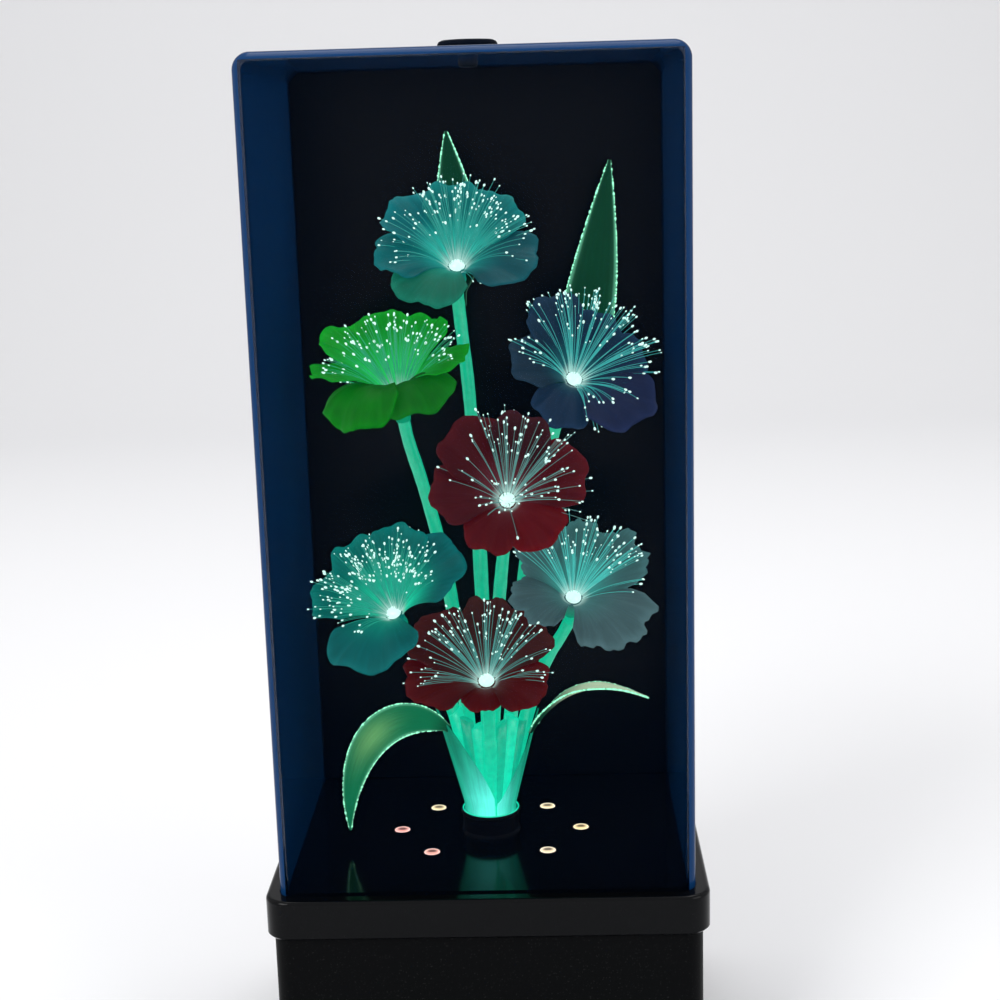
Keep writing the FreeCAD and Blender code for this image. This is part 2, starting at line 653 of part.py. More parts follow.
def motor_shaft():
    return rod(WHEEL_X, 0, MOTOR_Z1 - 8, WHEEL_Z + 4.4, SHAFT_R)


def motor():
    can = rod(MOTOR_X, 0, MOTOR_Z0, MOTOR_Z1, MOTOR_R)
    boss = rod(WHEEL_X, 0, MOTOR_Z1, MOTOR_Z1 + 3.2, 4.5)
    ears = box_at(MOTOR_X, 0, MOTOR_Z1 - 1, 9, 2 * MOTOR_EAR_Y + 8, 1.0)
    body = can.multiFuse([boss, ears])
    tools = [rod(MOTOR_X, side * MOTOR_EAR_Y, MOTOR_Z1 - 1, MOTOR_Z1, 1.7) for side in (-1, 1)]
    tools.append(rod(WHEEL_X, 0, MOTOR_Z1 - 9, MOTOR_Z1 + 3.2, SHAFT_R + RUNNING_FIT))
    return cut_all(body, tools)


def motor_screws():
    screws = []
    for side in (-1, 1):
        z = MOTOR_Z1
        profile = [(0, z + 1.8), (1.9, z + 1.8), (2.7, z + 1.0), (2.7, z), (SCREW_R, z), (SCREW_R, z - 9), (0, z - 10)]
        screws.append(turned(profile, MOTOR_X, side * MOTOR_EAR_Y))
    return group(screws)


# Switch on the rear wall: housing, pivot pin and rocker
ROCKER_Y = REAR_Y - 3.2
PIN_R = 1.0


def switch_housing():
    flange = box_at(SWITCH_X, REAR_Y + 0.75, SWITCH_Z - 10.8, 15.0, 1.5, 21.6)
    rim = [e for e in flange.Edges if abs(e.BoundBox.YMin - (REAR_Y + 1.5)) < 1e-6]
    flange = flange.makeChamfer(0.6, rim)
    body = box_at(SWITCH_X, REAR_Y - 7.5, SWITCH_Z - 9.4, 13.0, 15.0, 18.8)
    tabs = [box_at(SWITCH_X, REAR_Y - 18.0, SWITCH_Z + dz, 4.8, 6.0, 0.8) for dz in (-5.4, 4.6)]
    room = box_at(SWITCH_X, REAR_Y - 3.0, SWITCH_Z - 8.2, 10.4, 12.0, 16.4)
    housing = flange.multiFuse([body] + tabs).cut(room)
    pin_hole = Part.makeCylinder(PIN_R, 12.4, V(SWITCH_X - 6.2, ROCKER_Y, SWITCH_Z), V(1, 0, 0))
    return housing.cut(pin_hole)


def switch_pin():
    return Part.makeCylinder(PIN_R, 12.4, V(SWITCH_X - 6.2, ROCKER_Y, SWITCH_Z), V(1, 0, 0))


def switch_rocker():
    """Rocker with a dished face, tipped on to its lower stop."""
    half = 5.0
    outline = [(2.7, 0.0), (3.2, 4.0), (4.1, 6.8), (-2.2, 6.6), (-3.4, 0.0), (-2.2, -6.6), (4.1, -6.8), (3.2, -4.0)]
    corners = [V(SWITCH_X - half, ROCKER_Y + a, SWITCH_Z + b) for a, b in outline]
    block = Part.Face(Part.makePolygon(corners + corners[:1])).extrude(V(2 * half, 0, 0))
    bore = Part.makeCylinder(PIN_R + RUNNING_FIT, 12, V(SWITCH_X - 6, ROCKER_Y, SWITCH_Z), V(1, 0, 0))
    rocker = block.cut(bore)
    rocker.rotate(V(SWITCH_X, ROCKER_Y, SWITCH_Z), V(1, 0, 0), -ROCKER_TILT)
    return rocker


# Low-voltage inlet: threaded barrel with its pin, and the nut inside the wall
def power_jack():
    back = V(0, 1, 0)
    flange = Part.makeCylinder(5.6, 1.6, V(JACK_X, REAR_Y, JACK_Z), back)
    barrel = Part.makeCylinder(4.0, 12, V(JACK_X, REAR_Y - 12, JACK_Z), back)
    bore = Part.makeCylinder(2.8, 10.6, V(JACK_X, REAR_Y - 9, JACK_Z), back)
    pin = Part.makeCylinder(1.0, 8.5, V(JACK_X, REAR_Y - 9, JACK_Z), back)
    return flange.fuse(barrel).cut(bore).fuse(pin)


def jack_nut():
    wire = polygon_ring(0, 0, 0, 5.8, 6)
    nut = Part.Face(wire).extrude(V(0, 0, 2.4)).cut(rod(0, 0, 0, 2.4, 4.0))
    nut.rotate(V(0, 0, 0), V(1, 0, 0), -90)
    nut.translate(V(JACK_X, REAR_Y - BODY_WALL - 2.4, JACK_Z))
    return nut


# Leads between the inlet, the switch, the lamp and the motor, lying on the bottom plate
LEAD_R = 0.9


def internal_leads():
    floor = FOOT_H + PLATE_T + LEAD_R + 0.2
    tab_y = REAR_Y - 21.0
    jack_y = REAR_Y - 12.0
    upper, lower = SWITCH_Z + 5.0, SWITCH_Z - 5.0
    routes = [
        [(JACK_X + 2, jack_y, JACK_Z), (JACK_X + 2, jack_y - 8, JACK_Z), (JACK_X - 6, 34, floor + 3),
         (0, 33, floor), (SWITCH_X + 6, 34, floor + 2), (SWITCH_X, tab_y - 6, lower), (SWITCH_X, tab_y, lower)],
        [(SWITCH_X, tab_y, upper), (SWITCH_X, tab_y - 8, upper), (SWITCH_X - 2, 26, 22), (-30, 12, floor),
         (-14, 2.65, floor + 3), (-8.2, 2.65, floor + 4)],
        [(JACK_X - 2, jack_y, JACK_Z), (JACK_X - 2, jack_y - 10, JACK_Z), (MOTOR_X + 6, 27, 20),
         (MOTOR_X + 12, 14, 12), (MOTOR_X + 4, 4, 14), (MOTOR_X + 4, 4, MOTOR_Z0)],
    ]
    leads = []
    for route in routes:
        leads.append(pipe([V(*p) for p in route], LEAD_R, 7.0))
    return group(leads)


# Build and write every piece
def all_parts():
    parts = {
        "base_body": base_body(),
        "deck_lid": deck_lid(),
        "bottom_plate": bottom_plate(),
        "bottom_screws": group([screw_up(x, y, FOOT_H, 13.0) for x, y in BOTTOM_POSTS]),
        "deck_screws": group([screw_up(x, y, BOSS_BOTTOM - TAB_T, 13.0) for x, y in LID_BOSSES]),
        "bundle_collar": bundle_collar(),
        "bundle_ferrule": bundle_ferrule(),
        "fibre_trunk": fibre_trunk(),
        "cover": cover(),
        "back_panel": back_panel(),
        "lift_knob": lift_knob(),
        "knob_screw": knob_screw(),
        "lamp_bracket": lamp_bracket(),
        "lamp_socket": lamp_socket(),
        "bulb": bulb(),
        "reflector": reflector(),
        "wheel_frame": wheel_frame(),
        "wheel_hub": wheel_hub(),
        "motor_shaft": motor_shaft(),
        "motor": motor(),
        "motor_screws": motor_screws(),
        "switch_housing": switch_housing(),
        "switch_pin": switch_pin(),
        "switch_rocker": switch_rocker(),
        "power_jack": power_jack(),
        "jack_nut": jack_nut(),
        "internal_leads": internal_leads(),
    }
    names = {(-1, -1): "front_left", (1, -1): "front_right", (-1, 1): "rear_left", (1, 1): "rear_right"}
    for (sx, sy), corner in names.items():
        parts["foot_" + corner] = rubber_foot(sx * 56.0, sy * 42.0)
    for quarter, colour in enumerate(["red", "amber", "green", "blue"]):
        parts["filter_" + colour] = wheel_filter(quarter)
    for name, flower in FLOWERS.items():
        parts[name + "_stem"] = stem(flower)
        parts[name + "_corolla"] = corolla(flower)
        parts[name + "_spray"] = spray(flower)
    for name, (control, half_width, facing) in LEAVES.items():
        if name.startswith("tall"):
            parts[name] = blade(control, half_width, facing, 0.3)
        else:
            parts[name] = low_leaf(name)
    return parts


os.makedirs("parts", exist_ok=True)
for node, shape in all_parts().items():
    shape.exportStep(os.path.join("parts", node + ".step"))
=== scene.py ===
"""Fibre-optic flower lamp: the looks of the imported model, laid out as an add-on."""

import math

import bpy
import numpy as np
from bpy.props import FloatProperty, FloatVectorProperty, IntProperty, PointerProperty
from bpy.types import Operator, Panel, PropertyGroup
from mathutils import Matrix, Vector


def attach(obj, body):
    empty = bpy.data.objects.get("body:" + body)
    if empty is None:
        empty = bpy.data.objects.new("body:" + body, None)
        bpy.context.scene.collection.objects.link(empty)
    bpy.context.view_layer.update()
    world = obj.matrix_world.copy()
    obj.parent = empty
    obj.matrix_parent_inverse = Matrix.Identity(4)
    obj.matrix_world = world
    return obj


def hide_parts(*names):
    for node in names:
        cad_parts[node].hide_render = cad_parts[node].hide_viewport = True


bl_info = {
    "name": "Fibre-optic flower lamp",
    "version": (1, 0, 0),
    "blender": (4, 5, 0),
    "location": "View3D > Sidebar > Flower Lamp",
    "description": "Flowers, fibres, leaves and finishes of a fibre-optic flower lamp",
    "category": "Object",
}

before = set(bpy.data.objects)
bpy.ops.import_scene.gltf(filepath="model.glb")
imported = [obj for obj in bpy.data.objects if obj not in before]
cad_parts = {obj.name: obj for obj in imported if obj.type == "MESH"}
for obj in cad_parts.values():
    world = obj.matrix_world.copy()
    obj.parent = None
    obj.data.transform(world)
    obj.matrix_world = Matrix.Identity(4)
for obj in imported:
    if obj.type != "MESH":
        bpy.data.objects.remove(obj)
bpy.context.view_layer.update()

# Lengths in millimetres, heights above the deck, unless a line says otherwise
MM = 0.001
DECK_Z = 85.0           # the deck above the floor
CALYX_LEN = 9.0         # how far a calyx reaches below the throat
CALYX_TOP = 1.0         # and above it
PETAL_ROOT_R = 2.9
ROLLED_BACK = 150       # a petal whose end angle is more than this rolls back, degrees
FIBRES_PER_FAN_UNIT = 1.4
FIBRE_POINTS = 9
FIRST_SEED = 11
BEAD_RINGS = ((-1.5, 0.0), (-0.75, 0.78), (0.35, 1.0),      # place and width, in radii
              (1.15, 0.62), (1.5, 0.0))
BEAD_SIDES = 5
ROUND_SIDES = 20
EDGE_LIGHTS = 74        # light points along each edge of a leaf
STEM_PITCH = 5.9        # the stems' feet stand on a circle of this radius
STEM_RUN = 9            # straight run at a stem's foot and under its calyx
TRUNK_TOP = 2.0
SHEATH_R = 9.9
SHEATH_FOOT = 1.6
COLLAR_H = 8.8
COLLAR_LIP_R = 10.75
COLLAR_LIP_BEAD_R = 0.3
SLEEVE_FADE = 42.0      # height over which the short sleeves lose the light of their feet
TALL_STALK = 0.3        # share of a tall leaf that is a bare stalk
NO_STALK = 0.01
ROOM_X = 71.0           # how far a fibre may reach sideways inside the cover
ROOM_FRONT = -55.3      # and forwards
WALL_INSIDE_X = 0.0724  # the cover's inner faces and where its front and rear edges begin, metres
WALL_INSIDE_TOP = 0.3764
EDGE_START_Y = 0.0528
FACE_ALPHA = 0.014      # how solid the cover looks face on
EDGE_ALPHA = 0.97       # and at its edges
SWEEP_Y, SWEEP_R = 1.4, 0.8         # where the floor bends up behind the lamp, metres
FLOOR_FRONT_Y, FLOOR_SIDE_X, BACKDROP_TOP = -2.5, 3.0, 3.0
LAMP_MIDDLE = (0.0, 0.0, 0.2)
CAMERA_PLACE = (0.02578, -0.61638, 0.34944)
CAMERA_TURN = (0.0305, 0.2126, -0.0287)     # yaw, downward pitch and roll, radians
CAMERA_LENS, CAMERA_SENSOR = 60.48, 36.0    # millimetres
CAMERA_NEAR = 0.02
SOFT_LIGHTS = (("key_light", (-1.1, -1.3, 1.5), 26.0, 1.0),     # place, power and width of each
               ("fill_light", (1.4, -1.0, 0.9), 11.0, 1.2),
               ("top_light", (0.1, 0.5, 1.9), 16.0, 1.2))
DUST_GREY = (0.5, 0.5, 0.5, 1.0)
TARNISH_BROWN = (0.12, 0.10, 0.08, 1.0)
LEFT_LEAF_PALE = (124, 188, 116)
RIGHT_LEAF_PALE = (190, 214, 180)
FILTER_TINTS = {"red": (225, 40, 44), "amber": (240, 160, 36),
                "green": (40, 190, 96), "blue": (40, 110, 225)}
HELD_COLOUR = "sheet_colour"        # name of the colour that a mesh holds for each point
SHEET_UV = "sheet"


def srgb(red, green, blue):
    """Linear colour of a display colour given from 0 to 255: the usual display curve, undone."""
    parts = (c / 255.0 for c in (red, green, blue))
    return tuple(c / 12.92 if c <= 0.04045 else ((c + 0.055) / 1.055) ** 2.4 for c in parts)


# Flowers, in millimetres above the deck's centre. colour: display colour of the petals.
# throat_light_colour: display colour of the throat's light, painted on the petals. glow: how far the
# throat's painted light reaches along a petal. ragged: how torn the edges are. fibre_light: how bright
# the fibres' sides are. throat: where the petals start. tilt and lean: degrees by which the axis leans
# forwards and sideways. slot: direction of the stem's foot in the bundle. way: points that the stem
# passes. petals: direction round the axis, half spread, length, start and end angle. shades: how each
# petal's colour differs from the flower's own, partly its tone and partly painted light and shade. fans:
# count, two directions, two leans, evenness, two lengths and a curl, for each group of fibres.
FLOWERS = {
    "top": {
        "petal_slot": "petal_teal", "colour": (12, 112, 112), "throat_light_colour": (60, 228, 208),
        "glow": 0.7, "ragged": 0.35, "fibre_light": 0.5,
        "throat": (-6.7, 8.0, 217.7), "tilt": 38, "lean": 2, "slot": 90,
        "way": [(-1.0, 6.5, 90.0), (-3.0, 10.5, 165.0)],
        "petals": [(45, 41, 31.5, 38, 76), (95, 40, 31, 38, 64), (146, 41, 33, 38, 76),
                   (194, 38, 32, 38, 98), (242, 42, 33, 38, 110), (334, 44, 33.5, 36, 98)],
        "shades": [(1, 1, 1), (1, 1.05, 1), (0.9, 0.9, 1), (0.9, 0.8, 0.85), (1.6, 0.95, 0.6),
                   (1.6, 0.5, 0.62)],
        "fans": [(112, -8, 188, 6, 74, 0.62, 27, 34, 6), (30, 60, 120, 30, 62, 0.7, 31, 35, 4),
                 (12, 170, 215, 50, 76, 0.8, 24, 32, 14), (9, 330, 372, 48, 76, 0.8, 24, 33, 12),
                 (4, 250, 320, 40, 75, 0.8, 9, 15, 60)]},
    "upper_left": {
        "petal_slot": "petal_green", "colour": (10, 146, 34), "throat_light_colour": (50, 240, 120),
        "glow": 0.95, "ragged": 0.25, "fibre_light": 0.5,
        "throat": (-29.1, -4.0, 171.5), "tilt": 14, "lean": -8, "slot": 150,
        "way": [(-13.0, 6.5, 98.0), (-22.0, 3.0, 138.0)],
        "petals": [(50, 42, 33, 28, 62), (98, 42, 35, 28, 54), (145, 42, 37, 28, 66),
                   (190, 34, 34, 28, 90), (238, 44, 39, 13, 168), (296, 46, 35, 12, 160),
                   (350, 40, 32, 26, 100)],
        "shades": [(1, 1, 1), (0.9, 1, 1), (1, 1.05, 1), (0.9, 0.9, 0.8), (0.6, 0.66, 0.4),
                   (1.2, 0.52, 0.55), (1.4, 0.8, 0.7)],
        "fans": [(150, 10, 172, 4, 64, 0.55, 26, 34, 4), (18, 338, 368, 52, 66, 0.9, 24, 28, 8),
                 (16, 176, 204, 50, 64, 0.9, 26, 31, 8)]},
    "upper_right": {
        "petal_slot": "petal_blue", "colour": (22, 46, 68), "throat_light_colour": (36, 110, 118),
        "glow": 0.62, "ragged": 0.25, "fibre_light": 1.1,
        "throat": (35.4, 2.0, 175.6), "tilt": 50, "lean": 14, "slot": 30,
        "way": [(13.5, 7.5, 90.0), (21.5, 10.0, 136.0)],
        "petals": [(14, 40, 27, 35, 78), (66, 40, 26, 35, 60), (124, 42, 32, 35, 72),
                   (184, 38, 29, 35, 92), (248, 36, 28, 35, 112), (312, 44, 35, 35, 92)],
        "shades": [(0.9, 1, 1.1), (0.8, 1.1, 1.1), (0.8, 1, 1), (1.2, 1.1, 0.95), (1, 1, 1.1),
                   (1.3, 0.7, 1.05)],
        "fans": [(130, -8, 142, 36, 70, 0.45, 29, 35, 6), (14, -5, 130, 8, 45, 1.0, 28, 34, 6),
                 (22, 158, 196, 44, 72, 0.7, 24, 32, 16), (44, 266, 350, 40, 74, 0.7, 22, 31, 26)]},
    "centre": {
        "petal_slot": "petal_red", "colour": (70, 14, 20), "throat_light_colour": (110, 52, 62),
        "glow": 0.62, "ragged": 0.25, "fibre_light": 0.9,
        "throat": (10.2, -18.0, 134.8), "tilt": 58, "lean": 2, "slot": None,
        "way": [(3.6, -3.0, 74.0), (7.0, -6.0, 106.0)],
        "petals": [(15, 40, 32.5, 38, 78), (75, 40, 32.5, 38, 62), (130, 41, 34, 38, 72),
                   (184, 38, 30, 38, 86), (248, 38, 25.5, 38, 92), (308, 40, 26.5, 38, 94)],
        "shades": [(1.2, 0.9, 1), (0.55, 1.4, 1.3), (0.95, 1, 1), (1, 1.15, 1.1), (1.35, 0.8, 0.8),
                   (1.7, 0.6, 0.7)],
        "fans": [(84, 28, 118, 26, 70, 0.6, 27, 36, 4), (26, -22, 30, 30, 74, 0.7, 26, 34, 4),
                 (14, 120, 205, 40, 76, 0.8, 20, 32, 8), (20, 0, 360, 10, 50, 0.9, 9, 17, 20),
                 (12, 215, 325, 45, 72, 0.9, 12, 24, 34)]},
    "lower_left": {
        "petal_slot": "petal_teal", "colour": (6, 112, 106), "throat_light_colour": (40, 240, 190),
        "glow": 0.8, "ragged": 0.25, "fibre_light": 0.5,
        "throat": (-33.4, -12.0, 91.0), "tilt": 36, "lean": -14, "slot": 210,
        "way": [(-14.0, -4.5, 59.0)],
        "petals": [(18, 44, 36, 35, 88), (72, 40, 33, 35, 68), (122, 38, 31.5, 35, 64),
                   (170, 40, 31, 35, 86), (258, 50, 35, 35, 110)],
        "shades": [(1.3, 0.75, 0.85), (1, 1, 1), (1, 1.1, 1.05), (1, 1, 0.95), (1.8, 0.8, 0.9)],
        "fans": [(196, 40, 200, 6, 68, 0.6, 22, 33, 4), (40, 0, 60, 12, 58, 0.8, 22, 30, 6),
                 (8, 200, 250, 30, 62, 0.8, 18, 26, 12)]},
    "lower_right": {
        "petal_slot": "petal_teal", "colour": (64, 104, 106), "throat_light_colour": (70, 165, 158),
        "glow": 0.7, "ragged": 1.3, "fibre_light": 1.15,
        "throat": (33.6, -8.0, 94.6), "tilt": 40, "lean": 6, "slot": 330,
        "way": [(19.5, -3.5, 65.0)],
        "petals": [(27, 42, 32.5, 35, 72), (85, 40, 29, 35, 56), (143, 40, 30, 35, 72),
                   (212, 44, 28, 35, 96), (308, 46, 36, 35, 104)],
        "shades": [(0.95, 1, 1), (0.9, 1.1, 1.05), (1, 1, 1), (1.1, 0.85, 0.9), (1.35, 1.0, 1.05)],
        "fans": [(112, 8, 158, 26, 66, 0.5, 26, 33, 4), (16, 20, 150, 6, 40, 1.0, 24, 32, 4),
                 (10, -20, 10, 46, 68, 0.8, 24, 31, 8)]},
    "front": {
        "petal_slot": "petal_red", "colour": (62, 20, 20), "throat_light_colour": (84, 74, 72),
        "glow": 0.62, "ragged": 0.5, "fibre_light": 0.95,
        "throat": (0.9, -26.0, 68.5), "tilt": 38, "lean": 0, "slot": 270,
        "way": [(1.0, -13.0, 47.0)],
        "petals": [(38, 40, 30, 40, 76), (88, 36, 30, 40, 62), (148, 42, 32.5, 40, 82),
                   (200, 40, 32, 40, 92), (262, 44, 15.5, 40, 100), (330, 42, 25, 40, 96)],
        "shades": [(0.95, 1.3, 1.2), (0.8, 1.5, 1.3), (1, 1.1, 1.1), (1.4, 0.5, 0.55), (1.5, 0.42, 0.5),
                   (1.5, 0.45, 0.5)],
        "fans": [(96, 8, 172, 10, 68, 0.6, 24, 32, 2), (22, 160, 206, 50, 78, 0.7, 26, 33, 6),
                 (12, -20, 14, 46, 74, 0.8, 20, 29, 8), (8, 20, 160, 5, 40, 1.0, 12, 20, 6)]},
}

# Leaves, in millimetres above the deck's centre: four control points of the blade's centre line,
# greatest half width, and the way the face looks
LEAVES = {
    "tall_left_leaf": ([(-6.6, 23.6, 202), (-4.6, 24.5, 220), (-7.6, 23.5, 242), (-10.0, 22, 268)],
                       9.0, (0, -1, 0)),
    "tall_right_leaf": ([(27.4, 18.4, 154), (41, 23, 181), (45, 24, 218), (50.9, 23, 256.2)],
                        10.2, (0, -1, 0)),
    "low_left_leaf": ([(-13.9, -9.9, 44.3), (-38, -14, 62), (-55, -15, 36), (-53.4, -15, 5.6)],
                      6.6, (0, -1, 0.2)),
    "low_right_leaf": ([(16.2, -5.6, 40.5), (28.5, -10, 62), (43, -10, 63), (62, -10, 55.3)],
                       6.6, (0, 0.1, 1)),
}

# Sheaths of the low leaves: first and last direction, height at each side, sideways lean
SHEATHS = {"low_left_leaf": (190, 282, 53, 16, -0.06), "low_right_leaf": (286, 350, 14, 50, 0.06)}

# Short cut sleeves round the stems: upper end above the deck's centre, and slope of the cut
SHORT_SLEEVES = [((-12.2, -6.5, 50.5), 0.6), ((-7.8, -9.6, 48.0), -0.5), ((-3.6, -10.8, 46.0), 0.4),
                 ((0.4, -11.2, 50.0), 0.15), ((5.2, -10.4, 46.5), 0.8), ((9.4, -8.6, 48.5), -0.4),
                 ((12.6, -5.4, 46.0), 0.3), ((0.0, 11.0, 44.0), 0.3), ((-9.0, 7.5, 42.0), 0.4),
                 ((9.0, 7.5, 43.0), -0.4)]

# Light holes: place and colour of what shows in each, and a plug's profile of radius and height
HOLE_LIGHTS = [(-35.0, 0.0, (252, 176, 166)), (35.0, 0.0, (255, 228, 170)),
               (-22.0, 21.5, (250, 230, 180)), (22.0, 21.5, (255, 236, 190)),
               (-22.0, -21.5, (252, 182, 168)), (22.0, -21.5, (252, 232, 195))]
PLUG_PROFILE = [(0.0, -2.6), (2.35, -2.6), (2.5, -2.2), (2.5, -0.75), (3.0, -0.2), (2.85, -0.08),
                (2.3, -0.22), (1.6, -0.2), (0.9, -0.16), (0.0, -0.14)]


def flower_colours():
    """Label, what has it and display colour, for the petals of each flower and for the light in its throat.
    """
    rows = {}
    for name, flower in FLOWERS.items():
        words = name.replace("_", " ")
        label = words.capitalize()
        rows[name + "_petals"] = (label + " petals", "Petals of the %s flower" % words, *flower["colour"])
        # The throat's colour is that of its light: painted light on the petals, and part of the fibres' own
        # glow.
        rows[name + "_throat"] = (label + " throat", "Inside of the %s flower" % words,
                                  *flower["throat_light_colour"])
    return rows


# Colours that a user may change: label, what has it, and its display colour
COLOURS = {
    **flower_colours(),
    "stem": ("Stems", "Sleeves of the stems", 10, 168, 128),
    # stem_foot also colours the painted glow at the sheaths' feet and on the collar's lip.
    "stem_foot": ("Stem feet", "Lower ends of the stems, next to the lamp", 24, 230, 186),
    # bundle_core colours only the painted glow of the bundle's light on the front of the sheaths.
    "bundle_core": ("Bundle core", "Brightest part of the bundle, at its foot", 100, 255, 236),
    "fibre": ("Fibres", "Sides of the optical fibres", 60, 170, 162),
    "tip": ("Fibre tips", "Ends of the optical fibres", 214, 255, 246),
    "leaf": ("Leaves", "Face of the leaves", 3, 58, 36),
    "leaf_edge": ("Leaf edges", "Lit edges of the leaves", 130, 240, 190),
    "cover": ("Cover", "Tint of the acrylic cover", 10, 52, 96),
    "cover_back": ("Cover back", "Rear wall of the cover, over the panel", 5, 16, 32),
    "shell": ("Shell", "Plastic of the base", 5, 6, 7),
    "deck": ("Deck", "Plastic of the deck", 5, 6, 8),
    "panel": ("Back panel", "Panel behind the bouquet", 4, 6, 9),
    "knob": ("Knob", "Plastic of the lift knob", 4, 10, 22),
    "floor": ("Floor", "Floor and backdrop", 236, 236, 238),
}


def size(label, text, default, low, high):
    """A length in metres that a user may change."""
    return FloatProperty(name=label, description=text, default=default, min=low, max=high,
                         subtype="DISTANCE", unit="LENGTH", precision=5)


def colour(label, text, red, green, blue):
    """A colour that a user may change, given as a display colour."""
    return FloatVectorProperty(name=label, description=text, default=srgb(red, green, blue),
                               min=0.0, max=1.0, size=3, subtype="COLOR")


class LampSizes(PropertyGroup):
    """Sizes of the bouquet's fine parts."""

    petal_thickness: size("Petal thickness", "Thickness of the petal sheet", 0.00035, 0.0001, 0.001)
    petal_ruffle: size("Petal ruffle", "Height of the waves at a petal's outer edge", 0.0013, 0.0, 0.004)
    stem_radius: size("Stem radius", "Outer radius of a stem's lower sleeve", 0.0028, 0.001, 0.004)
    fibre_radius: size("Fibre radius", "Radius of one optical fibre", 0.00012, 0.00005, 0.0005)
    tip_radius: size("Tip radius", "Radius of the bright end of a fibre", 0.00038, 0.0001, 0.001)
    leaf_thickness: size("Leaf thickness", "Thickness of the leaf sheet", 0.0006, 0.0002, 0.001)
    edge_bead: size("Edge light", "Radius of the light points along a leaf's edge", 0.00038, 0.0001, 0.001)
    petal_columns: IntProperty(name="Petal columns", description="Mesh columns across one petal",
                               default=33, min=9, max=65)
    petal_rows: IntProperty(name="Petal rows", description="Mesh rows from throat to edge",
                            default=27, min=9, max=65)


class LampColours(PropertyGroup):
    """Colours of the bouquet and of the housing."""

    __annotations__ = {key: colour(*row) for key, row in COLOURS.items()}


# Points, surfaces and meshes
def above_deck(point):
    """Millimetres above the deck's centre to metres in the lamp's frame."""
    return (np.asarray(point, float) + (0.0, 0.0, DECK_Z)) * MM


def unit(vectors):
    """Vectors divided by their lengths."""
    return vectors / np.maximum(np.linalg.norm(vectors, axis=-1, keepdims=True), 1e-12)


def flower_axes(flower):
    """A flower's axis, the upright leaned sideways and tilted forwards, and two directions across it."""
    tilt, lean = np.radians(flower["tilt"]), np.radians(flower["lean"])
    axis = np.array([np.sin(lean), -np.cos(lean) * np.sin(tilt), np.cos(lean) * np.cos(tilt)])
    right = unit(np.array([1.0, 0.0, 0.0]) - axis * axis[0])
    return axis, right, np.cross(axis, right)


def circle(sides):
    """Directions round a circle in equal steps, radians."""
    return np.linspace(0.0, 2 * np.pi, sides, endpoint=False)


def smooth_step(low, high, value):
    """Zero below low, one above high, and an even ease between them."""
    t = np.clip((value - low) / (high - low), 0.0, 1.0)
    return t * t * (3 - 2 * t)


def grid_faces(rows, cols, wrap=False):
    """Four-cornered faces of a grid of rows by cols points; with wrap the last column joins the first."""
    i = np.arange(rows - 1)[:, None]
    j = np.arange(cols if wrap else cols - 1)[None, :]
    a, b = i * cols + j, i * cols + (j + 1) % cols
    return np.stack([a, b, b + cols, a + cols], axis=-1).reshape(-1, 4)


def skin_faces(rings, sides):
    """Faces of rings of points that two end points close: squares, then the fan at each end.

    The two end points come after the rings.
    """
    count = rings * sides
    k = np.arange(sides)
    ahead = (k + 1) % sides
    low = np.stack([ahead, k, np.full(sides, count)], axis=-1)
    high = np.stack([count - sides + k, count - sides + ahead, np.full(sides, count + 1)], axis=-1)
    return grid_faces(rings, sides, wrap=True), low, high


def in_one_list(arrays):
    """Faces of several arrays, each with its own number of corners, as one list."""
    return [face for array in arrays for face in array.tolist()]


def closed_sheet(points, thickness):
    """Both faces and the rim of a sheet: grid points moved half the thickness along the normal, both ways.

    The normal is the cross product of the grid's two directions of change. The second half of the points
    is the lower face, in the same order.
    """
    rows, cols = points.shape[:2]
    normal = unit(np.cross(np.gradient(points, axis=1), np.gradient(points, axis=0)))
    offset = normal * (thickness / 2)
    count = rows * cols
    upper = grid_faces(rows, cols)
    index = np.arange(count).reshape(rows, cols)
    loop = np.concatenate([index[0, :-1], index[:-1, -1], index[-1, :0:-1], index[:0:-1, 0]])
    ahead = np.roll(loop, -1)
    rim = np.stack([ahead, loop, loop + count, ahead + count], axis=-1)
    verts = np.concatenate([(points + offset).reshape(-1, 3), (points - offset).reshape(-1, 3)])
    return verts, in_one_list((upper, upper[:, ::-1] + count, rim))


def tube(path, radii, sides, reference):
    """Round skin of given radii along a path: a circle carried square to the path, closed by end points.

    The circle's first direction is the path's direction crossed with the reference direction.
    """
    ahead = unit(np.gradient(path, axis=0))
    first = unit(np.cross(ahead, reference))
    second = np.cross(ahead, first)
    angle = circle(sides)[None, :, None]
    ring = first[:, None] * np.cos(angle) + second[:, None] * np.sin(angle)
    skin = path[:, None] + ring * np.asarray(radii)[:, None, None]
    verts = np.concatenate([skin.reshape(-1, 3), path[:1], path[-1:]])
    return verts, in_one_list(skin_faces(len(path), sides))


def turned(profile, sides):
    """Surface of revolution about the upright line: a profile of radius and height turned in equal steps.

    The profile's first and last points lie on the line and close it.
    """
    profile = np.asarray(profile, float)
    angle = circle(sides)
    middle = profile[1:-1]
    skin = middle[:, 0, None, None] * np.stack([np.cos(angle), np.sin(angle), 0 * angle], axis=-1)[None]
    skin[..., 2] = middle[:, 1, None]
    ends = np.array([[0, 0, profile[0, 1]], [0, 0, profile[-1, 1]]])
    return np.concatenate([skin.reshape(-1, 3), ends]), in_one_list(skin_faces(len(middle), sides))


def curve_through_runs(points, samples):
    """Smooth path: quadratic arcs that leave and reach the middle of each run and turn at its corners."""
    points = np.asarray(points, float)
    middles = (points[:-1] + points[1:]) / 2
    s = np.linspace(0.0, 1.0, samples)[:, None]
    pieces = [points[0] + (middles[0] - points[0]) * s[:-1]]
    for start, corner, end in zip(middles, points[1:-1], middles[1:]):
        arc = start * (1 - s) ** 2 + corner * (2 * s * (1 - s)) + end * s ** 2
        pieces.append(arc[:-1])
    pieces.append(middles[-1] + (points[-1] - middles[-1]) * s)
    return np.concatenate(pieces)


